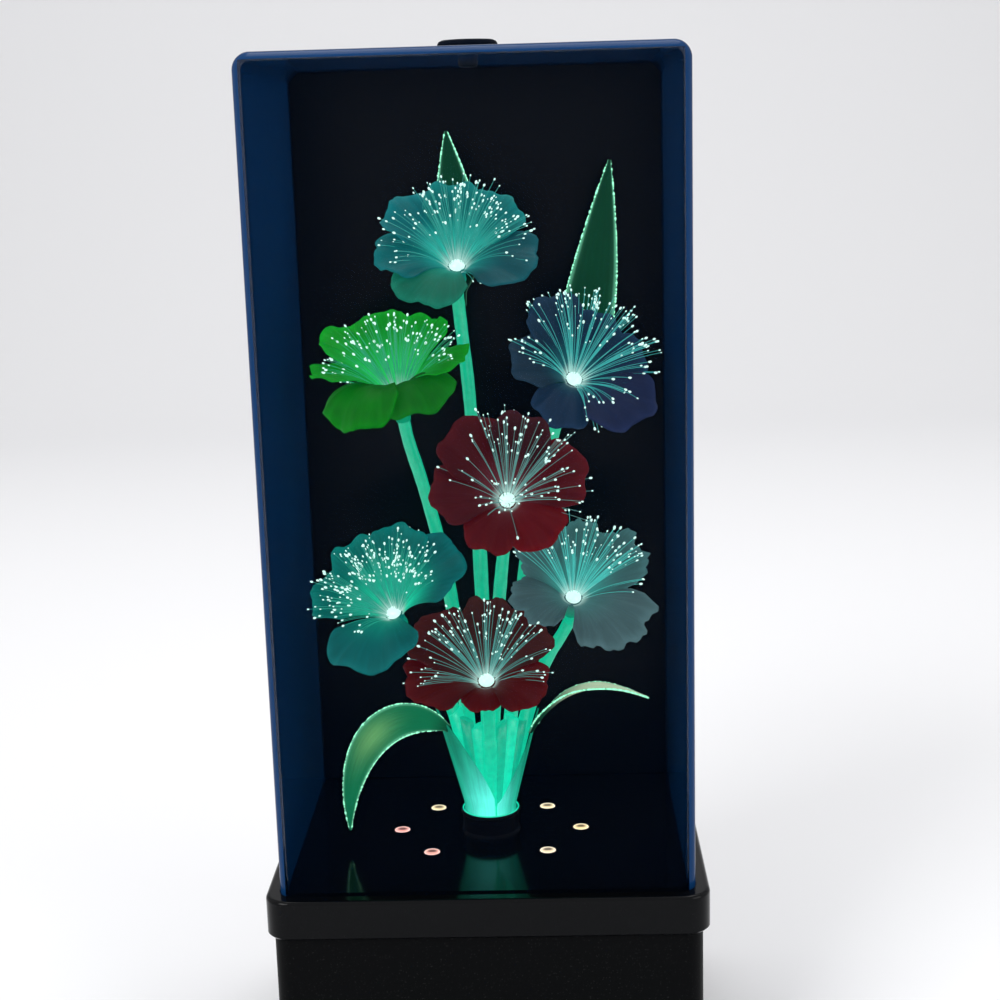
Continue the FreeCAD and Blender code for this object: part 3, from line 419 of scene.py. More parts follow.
def bezier(points, s):
    """Point on the curve of four control points, each weighted by its share at s."""
    a, b, c, d = (np.asarray(p, float) for p in points)
    s = s[..., None]
    r = 1 - s
    return a * r ** 3 + b * (3 * r * r * s) + c * (3 * r * s * s) + d * s ** 3


def joined(shapes):
    """Several shapes, each its points and faces, as one with the faces renumbered."""
    verts, faces, shift = [], [], 0
    for points, corners in shapes:
        verts.append(points)
        faces += [[corner + shift for corner in face] for face in corners]
        shift += len(points)
    return np.concatenate(verts), faces


def new_piece(name, shape, tints, look, replaces=(), uv=None, body="base"):
    """Mesh object from points and faces with a colour and, if given, a UV per point, riding on a body."""
    verts, faces = shape
    mesh = bpy.data.meshes.new(name)
    mesh.from_pydata(verts.tolist(), [], faces)
    mesh.polygons.foreach_set("use_smooth", np.ones(len(mesh.polygons), bool))
    opaque = np.concatenate([np.asarray(tints, np.float32), np.ones((len(tints), 1), np.float32)], axis=1)
    mesh.attributes.new(HELD_COLOUR, "FLOAT_COLOR", "POINT").data.foreach_set("color", opaque.ravel())
    if uv is not None:
        corner = np.empty(len(mesh.loops), np.int32)
        mesh.loops.foreach_get("vertex_index", corner)
        layer = mesh.uv_layers.new(name=SHEET_UV)
        layer.data.foreach_set("uv", np.asarray(uv, np.float32)[corner].ravel())
    mesh.materials.append(look)
    mesh.update()
    piece = bpy.data.objects.new(name, mesh)
    bpy.context.scene.collection.objects.link(piece)
    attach(piece, body)
    if replaces:
        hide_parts(*replaces)


# Materials
def feed(tree, node, inputs):
    """Feeds a node's inputs, by name or number, with links from outputs or with plain values."""
    for key, value in inputs.items():
        if isinstance(value, bpy.types.NodeSocket):
            tree.links.new(value, node.inputs[key])
        else:
            node.inputs[key].default_value = value


def new_node(tree, kind, inputs, **settings):
    """Shader node with its settings made and then its inputs fed; returns its outputs."""
    node = tree.nodes.new("ShaderNode" + kind)
    for key, value in settings.items():
        setattr(node, key, value)
    feed(tree, node, inputs)
    return node.outputs


def calc(tree, operation, *values, clamp=False):
    """Math node on outputs or numbers."""
    return new_node(tree, "Math", dict(enumerate(values)), operation=operation, use_clamp=clamp)[0]


def own_place(tree):
    """Place in the object's own coordinates."""
    return new_node(tree, "TexCoord", {})["Object"]


def noise(tree, vector, scale, detail, stretch=None):
    """Noise on a vector, stretched if wanted."""
    if stretch is not None:
        vector = new_node(tree, "Mapping", {"Scale": stretch, "Vector": vector})[0]
    return new_node(tree, "TexNoise", {"Detail": detail, "Scale": scale, "Vector": vector})["Fac"]


def blend_colours(tree, factor, first, second):
    """Mix of two colours."""
    return new_node(tree, "Mix", {"Factor": factor, "A": first, "B": second}, data_type="RGBA")["Result"]


def moulded_surface(tree, given):
    """Moulded plastic: fine grain for the bump, wide faint smudges for the roughness, specks of dust."""
    place = own_place(tree)
    grain = noise(tree, place, given["Grain scale"], 3.0)
    smudge = noise(tree, place, 34.0, 4.0)
    speck = noise(tree, place, 1500.0, 1.0)
    dust = calc(tree, "MULTIPLY", calc(tree, "GREATER_THAN", speck, 0.70), given["Dust"])
    spread = calc(tree, "MULTIPLY", calc(tree, "SUBTRACT", smudge, 0.5), given["Smudge"])
    rough = calc(tree, "ADD", given["Roughness"], spread)
    return {"Colour": blend_colours(tree, dust, given["Colour"], DUST_GREY),
            "Roughness": calc(tree, "ADD", rough, calc(tree, "MULTIPLY", dust, 4.0), clamp=True),
            "Height": grain}


def translucent_sheet(tree, given):
    """Thin translucent sheet: streaks along it, fine threads and cloudy patches, on its own UV map."""
    sheet = new_node(tree, "UVMap", {}, uv_map=SHEET_UV)[0]
    streak = noise(tree, sheet, 1.0, 3.0, (26.0, 1.6, 1.0))
    patch = noise(tree, own_place(tree), 120.0, 3.0)
    thread = noise(tree, sheet, 1.0, 1.0, (150.0, 110.0, 1.0))
    total = 1.0
    for value, strength in ((streak, "Streaks"), (patch, "Patches"), (thread, "Threads")):
        centred = calc(tree, "SUBTRACT", value, 0.5)
        total = calc(tree, "ADD", calc(tree, "MULTIPLY", centred, given[strength]), total)
    return {"Shade": total, "Height": calc(tree, "ADD", calc(tree, "MULTIPLY", thread, 0.35), streak)}


def drawn_metal(tree, given):
    """Metal: drawn lines along the upright and faint cloudy tarnish."""
    place = own_place(tree)
    lines = noise(tree, place, 1.0, 3.0, (180.0, 180.0, 4200.0))
    cloud = noise(tree, place, 260.0, 4.0)
    rough = calc(tree, "MULTIPLY", calc(tree, "SUBTRACT", lines, 0.5), given["Lines"])
    dull = calc(tree, "MULTIPLY", calc(tree, "SUBTRACT", cloud, 0.4, clamp=True), given["Tarnish"])
    return {"Colour": blend_colours(tree, dull, given["Colour"], TARNISH_BROWN),
            "Roughness": calc(tree, "ADD", rough, given["Roughness"], clamp=True), "Height": lines}


# Shared groups: inputs with their first values, outputs, and the function that wires them
GROUPS = {
    "moulded_surface": (
        {"Grain scale": 900.0, "Roughness": 0.3, "Smudge": 0.1, "Dust": 0.02,
         "Colour": (0.1, 0.1, 0.1, 1.0)},
        ("Colour", "Roughness", "Height"), moulded_surface),
    "translucent_sheet": (
        {"Streaks": 0.25, "Patches": 0.2, "Threads": 0.1},
        ("Shade", "Height"), translucent_sheet),
    "drawn_metal": (
        {"Roughness": 0.3, "Lines": 0.2, "Tarnish": 0.2, "Colour": (0.5, 0.5, 0.5, 1.0)},
        ("Colour", "Roughness", "Height"), drawn_metal),
}


def shared_group(name):
    """A shared group with its named inputs and outputs, made at its first use."""
    if name in bpy.data.node_groups:
        return bpy.data.node_groups[name]
    inputs, outputs, wire = GROUPS[name]
    tree = bpy.data.node_groups.new(name, "ShaderNodeTree")
    for side, labels in (("INPUT", inputs), ("OUTPUT", outputs)):
        for label in labels:
            kind = "NodeSocketColor" if label == "Colour" else "NodeSocketFloat"
            socket = tree.interface.new_socket(name=label, in_out=side, socket_type=kind)
            if side == "INPUT":
                socket.default_value = inputs[label]
    source, sink = tree.nodes.new("NodeGroupInput"), tree.nodes.new("NodeGroupOutput")
    feed(tree, sink, wire(tree, source.outputs))
    return tree


def group_in(tree, name, **values):
    """A shared group placed in a material with its own values; returns its outputs."""
    values = {label.replace("_", " "): value for label, value in values.items()}
    if "Colour" in values:
        values["Colour"] = (*values["Colour"], 1.0)
    return new_node(tree, "Group", values, node_tree=shared_group(name))


def material(name):
    """New material; returns it with its tree and its Principled shader."""
    made = bpy.data.materials.new(name)
    made.use_nodes = True
    return made, made.node_tree, made.node_tree.nodes["Principled BSDF"]


def bump(tree, height, distance):
    """Normal bent by a height, its depth in metres."""
    return new_node(tree, "Bump", {"Strength": 1.0, "Distance": distance, "Height": height})["Normal"]


def surfaced(name, group, values, depth, settings):
    """Material whose colour, roughness and bump come from a group; returns its tree and shader too."""
    made, tree, shader = material(name)
    surface = group_in(tree, group, **values)
    feed(tree, shader, {"Base Color": surface["Colour"], "Roughness": surface["Roughness"], **settings})
    if depth:
        feed(tree, shader, {"Normal": bump(tree, surface["Height"], depth)})
    return made, tree, shader, surface["Colour"]


def plastic(name, tint, roughness, specular=0.5, grain=900.0, depth=0.00002, smudge=0.08, dust=0.02):
    """Moulded plastic with grain, smudges and dust."""
    values = dict(Colour=tint, Roughness=roughness, Grain_scale=grain, Smudge=smudge, Dust=dust)
    return surfaced(name, "moulded_surface", values, depth, {"Specular IOR Level": specular})[0]


def metal(name, tint, roughness, lines=0.2, tarnish=0.2, depth=0.00001):
    """Drawn, turned or plated metal."""
    values = dict(Colour=tint, Roughness=roughness, Lines=lines, Tarnish=tarnish)
    return surfaced(name, "drawn_metal", values, depth, {"Metallic": 1.0})[0]


def clear_sheet(name, tint, roughness, specular, depth):
    """What the clear materials share: a smooth surface, and how far each point faces away from the eye."""
    values = dict(Colour=tint, Roughness=roughness, Grain_scale=60.0, Smudge=0.05, Dust=0.0)
    parts = surfaced(name, "moulded_surface", values, depth, {"Specular IOR Level": specular})
    return *parts, new_node(parts[1], "LayerWeight", {"Blend": 0.5})["Facing"]


def tinted_clear(name, tint, facing_alpha, edge_alpha, roughness, specular):
    """Clear tinted sheet: the more the eye looks along it, the more of its own colour it shows."""
    made, tree, shader, _, facing = clear_sheet(name, tint, roughness, specular, 0.000004)
    rise = calc(tree, "MULTIPLY", calc(tree, "POWER", facing, 2.2), edge_alpha - facing_alpha)
    feed(tree, shader, {"Alpha": calc(tree, "ADD", rise, facing_alpha, clamp=True)})
    return made


def tinted_acrylic(name, tint, backed):
    """Clear acrylic: full of colour where the eye looks along a wall or down its front and top edges.

    The rear wall, which a panel backs, shows the dark colour of both.
    """
    made, tree, shader, tinted, facing = clear_sheet(name, tint, 0.06, 0.02, 0.000002)
    span = {"Value": facing, "From Min": 0.25, "From Max": 0.86, "To Min": FACE_ALPHA, "To Max": EDGE_ALPHA}
    ease = new_node(tree, "MapRange", span, interpolation_type="SMOOTHSTEP")
    across, deep, high = new_node(tree, "SeparateXYZ", {0: own_place(tree)})
    beside = calc(tree, "GREATER_THAN", calc(tree, "ABSOLUTE", across), WALL_INSIDE_X)
    above = calc(tree, "GREATER_THAN", high, WALL_INSIDE_TOP)
    front = calc(tree, "LESS_THAN", deep, -EDGE_START_Y)
    rear = calc(tree, "GREATER_THAN", deep, EDGE_START_Y)
    rim = calc(tree, "MULTIPLY", calc(tree, "MAXIMUM", beside, above), front)
    solid = calc(tree, "MULTIPLY", calc(tree, "MAXIMUM", rim, rear), EDGE_ALPHA)
    feed(tree, shader, {"Alpha": calc(tree, "MAXIMUM", ease["Result"], solid),
                        "Base Color": blend_colours(tree, rear, tinted, (*backed, 1.0)),
                        "Coat Weight": calc(tree, "MULTIPLY", rim, 0.12), "Coat Roughness": 0.08})
    return made


def lit_by_mesh(tree, shader, shade, base_share, light_share):
    """Base colour and light, each a share of the colour held in the mesh times a shade."""
    held = new_node(tree, "Attribute", {}, attribute_name=HELD_COLOUR)["Color"]
    for socket, share in (("Base Color", base_share), ("Emission Color", light_share)):
        scale = calc(tree, "MULTIPLY", shade, share)
        scaled = new_node(tree, "VectorMath", {0: held, "Scale": scale}, operation="SCALE")
        feed(tree, shader, {socket: scaled[0]})
    feed(tree, shader, {"Emission Strength": 1.0})


def sheet_material(name):
    """Petal or leaf sheet: the colour held in its mesh, streaked and clouded, part of it glowing as painted
    light.
    """
    made, tree, shader = material(name)
    surface = group_in(tree, "translucent_sheet", Streaks=0.55, Patches=0.35, Threads=0.25)
    lit_by_mesh(tree, shader, surface["Shade"], 0.3, 0.72)
    feed(tree, shader, {"Roughness": 0.55, "Specular IOR Level": 0.07,
                        "Normal": bump(tree, surface["Height"], 0.00012)})
    return made


def lit_material(name, base_share, roughness):
    """Clear plastic lit from within in the colour held in the mesh, a little cloudy."""
    made, tree, shader = material(name)
    cloud = noise(tree, own_place(tree), 420.0, 3.0)
    shade = calc(tree, "ADD", calc(tree, "MULTIPLY", cloud, 0.5), 0.75)
    lit_by_mesh(tree, shader, shade, base_share, 1.0)
    feed(tree, shader, {"Roughness": roughness, "Normal": bump(tree, cloud, 0.00004)})
    return made


def dress(made, *nodes):
    """Gives CAD nodes a material."""
    for node in nodes:
        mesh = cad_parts[node].data
        mesh.materials.clear()
        mesh.materials.append(made)


# The bouquet's shapes
def petal_surface(flower, index, sizes):
    """One petal: an arc of a trumpet whose angle from the axis grows from start to end along it.

    Radius and rise are the integrals of the angle's sine and cosine along the arc. The outer edge is
    rounded by the cube of the place across it, has soft lobes and is torn by two sine waves. Waves grow
    outwards with the square of the place along it, and one side is lifted so that it lies over the next
    petal. Returns the points and the places along and across.
    """
    axis, right, back = flower_axes(flower)
    middle, spread, length, start, end = flower["petals"][index]
    start, end = np.radians(start), np.radians(end)
    phase = 1.3 + 2.1 * index + flower["tilt"]
    s = np.linspace(0.0, 1.0, sizes.petal_rows)[:, None]
    t = np.linspace(-1.0, 1.0, sizes.petal_columns)[None, :]
    torn = 0.022 * np.sin(4.1 * np.pi * t + phase) + 0.016 * np.sin(9.3 * np.pi * t + 2.3 * phase)
    lobes = 0.028 * np.cos(2.7 * np.pi * t + 1.9 * phase) - 0.024
    along = s * (1.0 - 0.30 * np.abs(t) ** 3 + lobes + flower["ragged"] * (torn - 0.022))
    bend = start + (end - start) * along
    radius = PETAL_ROOT_R + length * (np.cos(start) - np.cos(bend)) / (end - start)
    rise = length * (np.sin(bend) - np.sin(start)) / (end - start)
    ruffle = sizes.petal_ruffle / MM
    wave = ruffle * along ** 2 * np.cos(2.6 * np.pi * t + phase)
    wave = wave + 0.32 * ruffle * along ** 4 * np.cos(7.4 * np.pi * t + 1.7 * phase)
    wave = wave + 0.55 * t * (0.25 + along)
    radius = radius - wave * np.cos(bend)
    rise = rise + wave * np.sin(bend)
    turn = np.radians(middle + spread * t * (0.84 + 0.16 * along))
    out = right * np.cos(turn)[..., None] + back * np.sin(turn)[..., None]
    points = np.asarray(flower["throat"], float) + out * radius[..., None] + axis * rise[..., None]
    return above_deck(points), along, t * np.ones_like(s)


def petal_tint_with_painted_light(flower, index, along, across, inner, outer, tip):
    """Colour of a petal, with painted light and shade: the throat's painted light fades along it, less on
    the petals that hang below the throat.

    The deepest part is bright with painted glow, the sides are darker with painted shade and the rim is
    lighter. A petal that rolls back past ROLLED_BACK degrees has no painted throat light on it, only
    painted shade near its root.
    """
    direction, end = flower["petals"][index][0], flower["petals"][index][4]
    # Painted shade: the petal's sides are darker.
    fold = 1.0 - 0.22 * np.abs(across) ** 4
    # A rolled-back petal gets painted shade near its root instead of the throat's light.
    if end > ROLLED_BACK:
        tint = outer * (0.25 + 0.75 * smooth_step(0.15, 0.75, along) * fold)[..., None]
    else:
        # Painted light of the throat, weaker on petals that point down.
        glow = 1.0 - smooth_step(0.02, flower["glow"], along)
        upward = 0.30 + 0.85 * smooth_step(-0.5, 0.45, np.sin(np.radians(direction)))
        tint = (outer + (inner - outer) * (glow[..., None] ** 1.3) * upward) * fold[..., None]
    # Painted glow at the petal's root, blended towards the colour of the fibre tips.
    core = 0.85 * (1.0 - smooth_step(0.0, 0.17, along))[..., None]
    tint = tint + (tip * 0.8 - tint) * core
    rim = smooth_step(0.86, 1.0, along / np.maximum(along.max(axis=0, keepdims=True), 1e-6))
    return (tint * (1.0 + 0.35 * rim[..., None])).reshape(-1, 3)


def corolla(name, flower, sizes, colours, look):
    """A flower's petals and calyx as one piece, coloured with painted light and shade from throat to edge.
    """
    inner = np.array(getattr(colours, name + "_throat"))
    outer = np.array(getattr(colours, name + "_petals"))
    shapes, tints, uvs = [], [], []
    for k, shade in enumerate(flower["shades"]):
        points, along, across = petal_surface(flower, k, sizes)
        shapes.append(closed_sheet(points, sizes.petal_thickness))
        tint = petal_tint_with_painted_light(flower, k, along, across, inner, outer * np.array(shade), np.array(colours.tip))
        tints += [tint, 0.8 * tint]
        uvs += 2 * [np.stack([across * 0.5 + k, along], axis=-1).reshape(-1, 2)]
    axis, right, _ = flower_axes(flower)
    place = np.linspace(-CALYX_LEN, CALYX_TOP, 12)
    radii = (3.0 + 0.5 * smooth_step(-CALYX_LEN, 0.0, place) + 0.25 * np.cos(place * 1.1)) * MM
    line = above_deck(flower["throat"]) + axis * place[:, None] * MM
    shapes.append(tube(line, radii, ROUND_SIDES, right))
    rise = (place + CALYX_LEN) / (CALYX_TOP + CALYX_LEN)
    share = np.concatenate([np.repeat(rise, ROUND_SIDES), [0.0, 1.0]])[:, None]
    tints.append(np.array(colours.stem) * (1 - share) * 0.8 + outer * share)
    uvs.append(np.zeros((len(share), 2)))
    new_piece(name + "_flower", joined(shapes), np.concatenate(tints), look,
              [name + "_corolla"], np.concatenate(uvs))


def fibre_paths(flower, rng):
    """Paths of a flower's fibres: each starts in the throat at a share of its last lean and bends outwards.

    The lean grows evenly along a fibre and, with curl, with its square; a point is the running sum of the
    directions. Waves in the spacing gather the fibres into bunches, and a fibre that would meet the cover
    is shortened. Returns paths, directions and side directions.
    """
    axis, right, back = flower_axes(flower)
    rows = []
    for count, first, last, lean0, lean1, power, short, long, curl in flower["fans"]:
        count = int(FIBRES_PER_FAN_UNIT * count)
        draw = rng.random((count, 6))
        place = draw[:, 0] + 0.05 * np.sin(2 * np.pi * (5.0 * draw[:, 0] + rng.random()))
        length = (short + (long - short) * draw[:, 2] ** 0.7) * (1.0 - 0.42 * draw[:, 5] ** 2)
        rows.append(np.stack([first + (last - first) * place, lean0 + (lean1 - lean0) * draw[:, 1] ** power,
                              length, curl * (0.4 + draw[:, 3]), draw[:, 4]], axis=1))
    turn, lean, length, curl, spare = np.concatenate(rows).T
    turn, lean, curl = np.radians(turn), np.radians(lean), np.radians(curl)
    out = right * np.cos(turn)[:, None] + back * np.sin(turn)[:, None]
    side = np.cross(axis, out)
    s = np.linspace(0.0, 1.0, FIBRE_POINTS)[None, :]
    angle = lean[:, None] * (0.62 + 0.45 * s) + curl[:, None] * s ** 2
    sway = 0.10 * (spare[:, None] - 0.5) * s
    ahead = unit(axis * np.cos(angle)[..., None] + out[:, None] * np.sin(angle)[..., None]
                 + side[:, None] * sway[..., None])
    step = np.concatenate([np.zeros((len(turn), 1, 3)), (ahead[:, 1:] + ahead[:, :-1]) / 2], axis=1)
    reach = np.cumsum(step, axis=1) / (FIBRE_POINTS - 1) * length[:, None, None]
    root = np.asarray(flower["throat"], float) + (out * (2.0 * np.sin(lean) ** 0.5)[:, None] - axis * 1.0)
    fit = np.ones(len(turn))
    for along, limit in ((0, ROOM_X), (0, -ROOM_X), (1, ROOM_FRONT)):
        tip = reach[:, -1, along]
        room = (limit - root[:, along]) / np.where(np.abs(tip) < 1e-6, 1e-6, tip)
        fit = np.where((room > 0) & (room < fit), room, fit)
    return above_deck(root[:, None] + reach * fit[:, None, None]), ahead, side


def fibre_rods(paths, ahead, side, radius):
    """Three-sided rods along the paths, thinner at their ends, and how near each point is to the root."""
    count = len(paths)
    across = np.cross(ahead, side[:, None])
    angle = circle(3)[None, None, :, None]
    ring = side[:, None, None] * np.cos(angle) + across[:, :, None] * np.sin(angle)
    taper = np.linspace(1.0, 0.8, FIBRE_POINTS)[None, :, None, None]
    skin = paths[:, :, None] + ring * (radius * taper)
    per = FIBRE_POINTS * 3
    shift = per * np.arange(count)[:, None]
    faces = (grid_faces(FIBRE_POINTS, 3, wrap=True)[None] + shift[..., None]).reshape(-1, 4)
    near = 1.0 - smooth_step(0.0, 0.42, np.linspace(0.0, 1.0, FIBRE_POINTS))
    caps = np.array([[2, 1, 0]]) + shift, np.array([[per - 3, per - 2, per - 1]]) + shift
    return (skin.reshape(-1, 3), in_one_list((faces, *caps))), np.tile(np.repeat(near, 3), count)[:, None]


def spray(name, flower, seed, sizes, colours, look):
    """A flower's fibres, each a rod that ends in a bright bead, and the glowing plug in the throat."""
    rng = np.random.default_rng(seed)
    paths, ahead, side = fibre_paths(flower, rng)
    rods, near = fibre_rods(paths, ahead, side, sizes.fibre_radius)
    radius = sizes.tip_radius * (0.5 + 0.85 * rng.random(len(paths)))
    beads = tip_beads(paths[:, -1], ahead[:, -1], side, np.cross(ahead[:, -1], side), radius)
    dome = plug_dome(above_deck(flower["throat"]), *flower_axes(flower))
    tip = np.array(colours.tip)
    throat = np.array(getattr(colours, name + "_throat"))
    fibre = flower["fibre_light"] * (0.6 * np.array(colours.fibre) + 0.4 * throat)
    tints = [fibre + (tip * 0.75 - fibre) * near ** 1.5, np.tile(tip, (len(beads[0]) + len(dome[0]), 1))]
    new_piece(name + "_fibres", joined([rods, beads, dome]), np.concatenate(tints), look,
              [name + "_spray"])


def tip_beads(centres, ahead, side, across, radius):
    """Small long beads: rings of points whose radius follows a short profile along the fibre."""
    angle = circle(BEAD_SIDES)[None, :, None]
    inner = BEAD_RINGS[1:-1]
    spoke = side[:, None] * np.cos(angle) + across[:, None] * np.sin(angle)

    def ring_centre(place):
        return centres[:, None] + ahead[:, None] * (place * radius)[:, None, None]

    rings = [ring_centre(place) + spoke * (wide * radius)[:, None, None] for place, wide in inner]
    verts = np.concatenate(rings + [ring_centre(BEAD_RINGS[0][0]), ring_centre(BEAD_RINGS[-1][0])], axis=1)
    shift = verts.shape[1] * np.arange(len(centres))[:, None, None]
    faces = [(kind[None] + shift).reshape(-1, kind.shape[1]) for kind in skin_faces(len(inner), BEAD_SIDES)]
    return verts.reshape(-1, 3), in_one_list(faces)


def plug_dome(throat, axis, right, back):
    """Low dome over the packed fibre ends in the throat: part of a sphere, turned about the axis."""
    s = np.linspace(0.0, 1.0, 7)[:-1]
    profile = [(0.0, -CALYX_LEN), (2.2, -CALYX_LEN)] + [(2.2 + 0.75 * a, -1.0 + 2.0 * a) for a in s]
    profile += [(2.95 * math.cos(a * 1.5), 1.0 + 2.0 * math.sin(a * 1.5)) for a in s] + [(0.0, 3.0)]
    verts, faces = turned(profile, 16)
    return throat + (right * verts[:, :1] + back * verts[:, 1:2] + axis * verts[:, 2:3]) * MM, faces


def stem(name, flower, sizes, colours, look):
    """A stem: a round sleeve along its way, narrower and stepped towards the flower, bright at its foot.

    Two fine sine waves ripple its radius.
    """
    axis = flower_axes(flower)[0]
    throat = np.asarray(flower["throat"], float)
    foot = np.array([0.0, 0.0, TRUNK_TOP])
    if flower["slot"] is not None:
        turn = math.radians(flower["slot"])
        foot = np.array([STEM_PITCH * math.cos(turn), STEM_PITCH * math.sin(turn), TRUNK_TOP])
    points = [foot, foot + (0, 0, STEM_RUN), *flower["way"]]
    points += [throat - axis * (CALYX_LEN + STEM_RUN), throat - axis * (CALYX_LEN - 0.4)]
    path = above_deck(curve_through_runs(points, 24))
    run = np.concatenate([[0.0], np.cumsum(np.linalg.norm(np.diff(path, axis=0), axis=1))])
    share = run / run[-1]
    step = smooth_step(0.62, 0.64, share)
    ripple = 0.02 * np.sin(run * 260.0 + flower["tilt"]) + 0.012 * np.sin(run * 910.0)
    radii = sizes.stem_radius * (1.0 - 0.10 * step - 0.06 * share + ripple)
    shape = tube(path, radii, ROUND_SIDES, (1.0, 0.0, 0.0))
    near = np.exp(-np.maximum(shape[0][:, 2] / MM - DECK_Z - 6.0, 0.0) / 26.0)[:, None]
    tint = np.array(colours.stem) + (np.array(colours.stem_foot) - np.array(colours.stem)) * near
    new_piece(name + "_sleeve", shape, tint, look, [name + "_stem"])


def short_sleeve(top, cut, sizes):
    """A short cut sleeve of the bundle: a straight tube that leans outwards, its upper end cut aslant."""
    rings, sides = 8, 16
    top = np.asarray(top, float)
    foot = np.array([0.42 * top[0], 0.42 * top[1], COLLAR_H])
    path = above_deck(foot + (top - foot) * np.linspace(0.0, 1.0, rings)[:, None])
    verts, faces = tube(path, np.full(rings, 0.93 * sizes.stem_radius), sides, (0.0, 1.0, 0.0))
    ends = [*range((rings - 1) * sides, rings * sides), len(verts) - 1]
    verts[ends, 2] += cut * (verts[ends, 0] - path[-1, 0])
    return verts, faces


def cut_sleeves(sizes, colours, look):
    """The short cut sleeves as one piece, each a little lighter or darker than the next."""
    verts, faces = joined([short_sleeve(top, cut, sizes) for top, cut in SHORT_SLEEVES])
    height = (verts[:, 2:3] / MM - DECK_Z - COLLAR_H) / SLEEVE_FADE
    foot, upper = np.array(colours.stem_foot), np.array(colours.stem)
    count = len(SHORT_SLEEVES)
    each = np.repeat(0.78 + 0.22 * np.cos(2.6 * np.arange(count)), len(verts) // count)[:, None]
    tint = each * (foot + (0.75 * upper - 0.65 * foot) * height)
    new_piece("cut_sleeves", (verts, faces), tint, look)


def blade_surface(control, half_width, facing, stalk, rows=61, cols=13):
    """A leaf's blade: a strip along a curve of four control points, its half width a power of a sine.

    The first share, the stalk, stays slim. The strip is folded along its middle by a share of the width,
    and its edges wave slightly. Returns the points and the places along and across.
    """
    s = np.linspace(0.01, 0.99, rows)
    t = np.linspace(-1.0, 1.0, cols)[None, :]
    centre = bezier(control, s)
    ahead = bezier(control, s + 0.01) - bezier(control, s - 0.01)
    across = unit(np.cross(ahead, np.asarray(facing, float)))
    fold = unit(np.cross(across, ahead))
    swell = np.sin(np.pi * s ** 0.75) * np.minimum(1.0, s / stalk)
    width = half_width * np.maximum(swell, 0.04 + 0.16 * (1 - s)) ** 0.9
    lift = width[:, None] * (0.22 * np.abs(t) + 0.03 * np.sin(14.0 * s[:, None] + 2.0 * t) * t ** 2)
    sideways = across[:, None] * (width[:, None] * t)[..., None]
    points = centre[:, None] + sideways + fold[:, None] * lift[..., None]
    return above_deck(points), s[:, None] * np.ones_like(t), t * np.ones((rows, 1))


def sheath_surface(first, last, top_left, top_right, shift, rows=25, cols=33):
    """A low leaf's sheath: part of a flared ring whose top edge slants.

    Its top rises across it with the power one and a half. Returns the points, heights and shares across.
    """
    share = np.linspace(0.0, 1.0, cols)[None, :]
    s = np.linspace(0.0, 1.0, rows)[:, None]
    turn = np.radians(first + (last - first) * share)
    top = top_left + (top_right - top_left) * share ** 1.5
    z = SHEATH_FOOT + (top - SHEATH_FOOT) * s
    flare = np.maximum(0.0, z - COLLAR_H - 2.8)
    radius = SHEATH_R + 0.2 * flare + 0.15 * np.sin(9.0 * turn) * s
    x = radius * np.cos(turn) + shift * flare
    return above_deck(np.stack([x, radius * np.sin(turn), z], axis=-1)), z, share * np.ones_like(s)


def blade_tint(name, s, t, bare, colours):
    """Colour of a blade: dark at the bare stalk and along the middle, pale in patches, lit at the edges."""
    tint = np.array(colours.leaf) * (1.0 - 0.35 * np.abs(t) ** 0.5 * (np.abs(t) < 0.12))[..., None]
    if name == "low_left_leaf":
        share = 0.6 * np.exp(-((s - 0.5) / 0.15) ** 2 - ((t - 0.1) / 0.7) ** 2)[..., None]
        tint = 4.0 * tint + (np.array(srgb(*LEFT_LEAF_PALE)) - 4.0 * tint) * share
    if name == "low_right_leaf":
        share = 0.95 * smooth_step(0.15, 0.55, s)[..., None]
        tint = tint + (np.array(srgb(*RIGHT_LEAF_PALE)) - tint) * share
    tint = tint + (np.array(colours.leaf_edge) * 0.6 - tint) * (np.abs(t) ** 16)[..., None]
    return (tint * (0.25 + 0.75 * smooth_step(bare - 0.02, bare + 0.12, s))[..., None]).reshape(-1, 3)


def sheath_tint_with_painted_light(name, z, share, colours):
    """Colour of a sheath, with painted light and shade: painted glow brightest at its foot and to the
    front, and painted shade in pleats from a wave across it.
    """
    first, last = SHEATHS[name][:2]
    # Painted glow of the bundle's light, strongest at the sheath's foot.
    near = np.exp(-np.maximum(z - 8.0, 0.0) / 15.0)[..., None]
    # Painted shade of pleats: a wave across the sheath.
    fold = (0.84 + 0.16 * np.cos(17.0 * share + 0.09 * z))[..., None]
    base = np.array(colours.stem) * 0.66
    glow = (base + (np.array(colours.stem_foot) * 0.8 - base) * near) * fold
    turn = first + (last - first) * share
    # Painted glow of the bundle's brightest light, at the front of the sheath's foot.
    core = np.exp(-((turn - 268.0) / 42.0) ** 2) * np.exp(-np.maximum(z - 16.0, 0.0) / 10.0)
    return (glow + (np.array(colours.bundle_core) * 1.3 - glow) * core[..., None]).reshape(-1, 3)


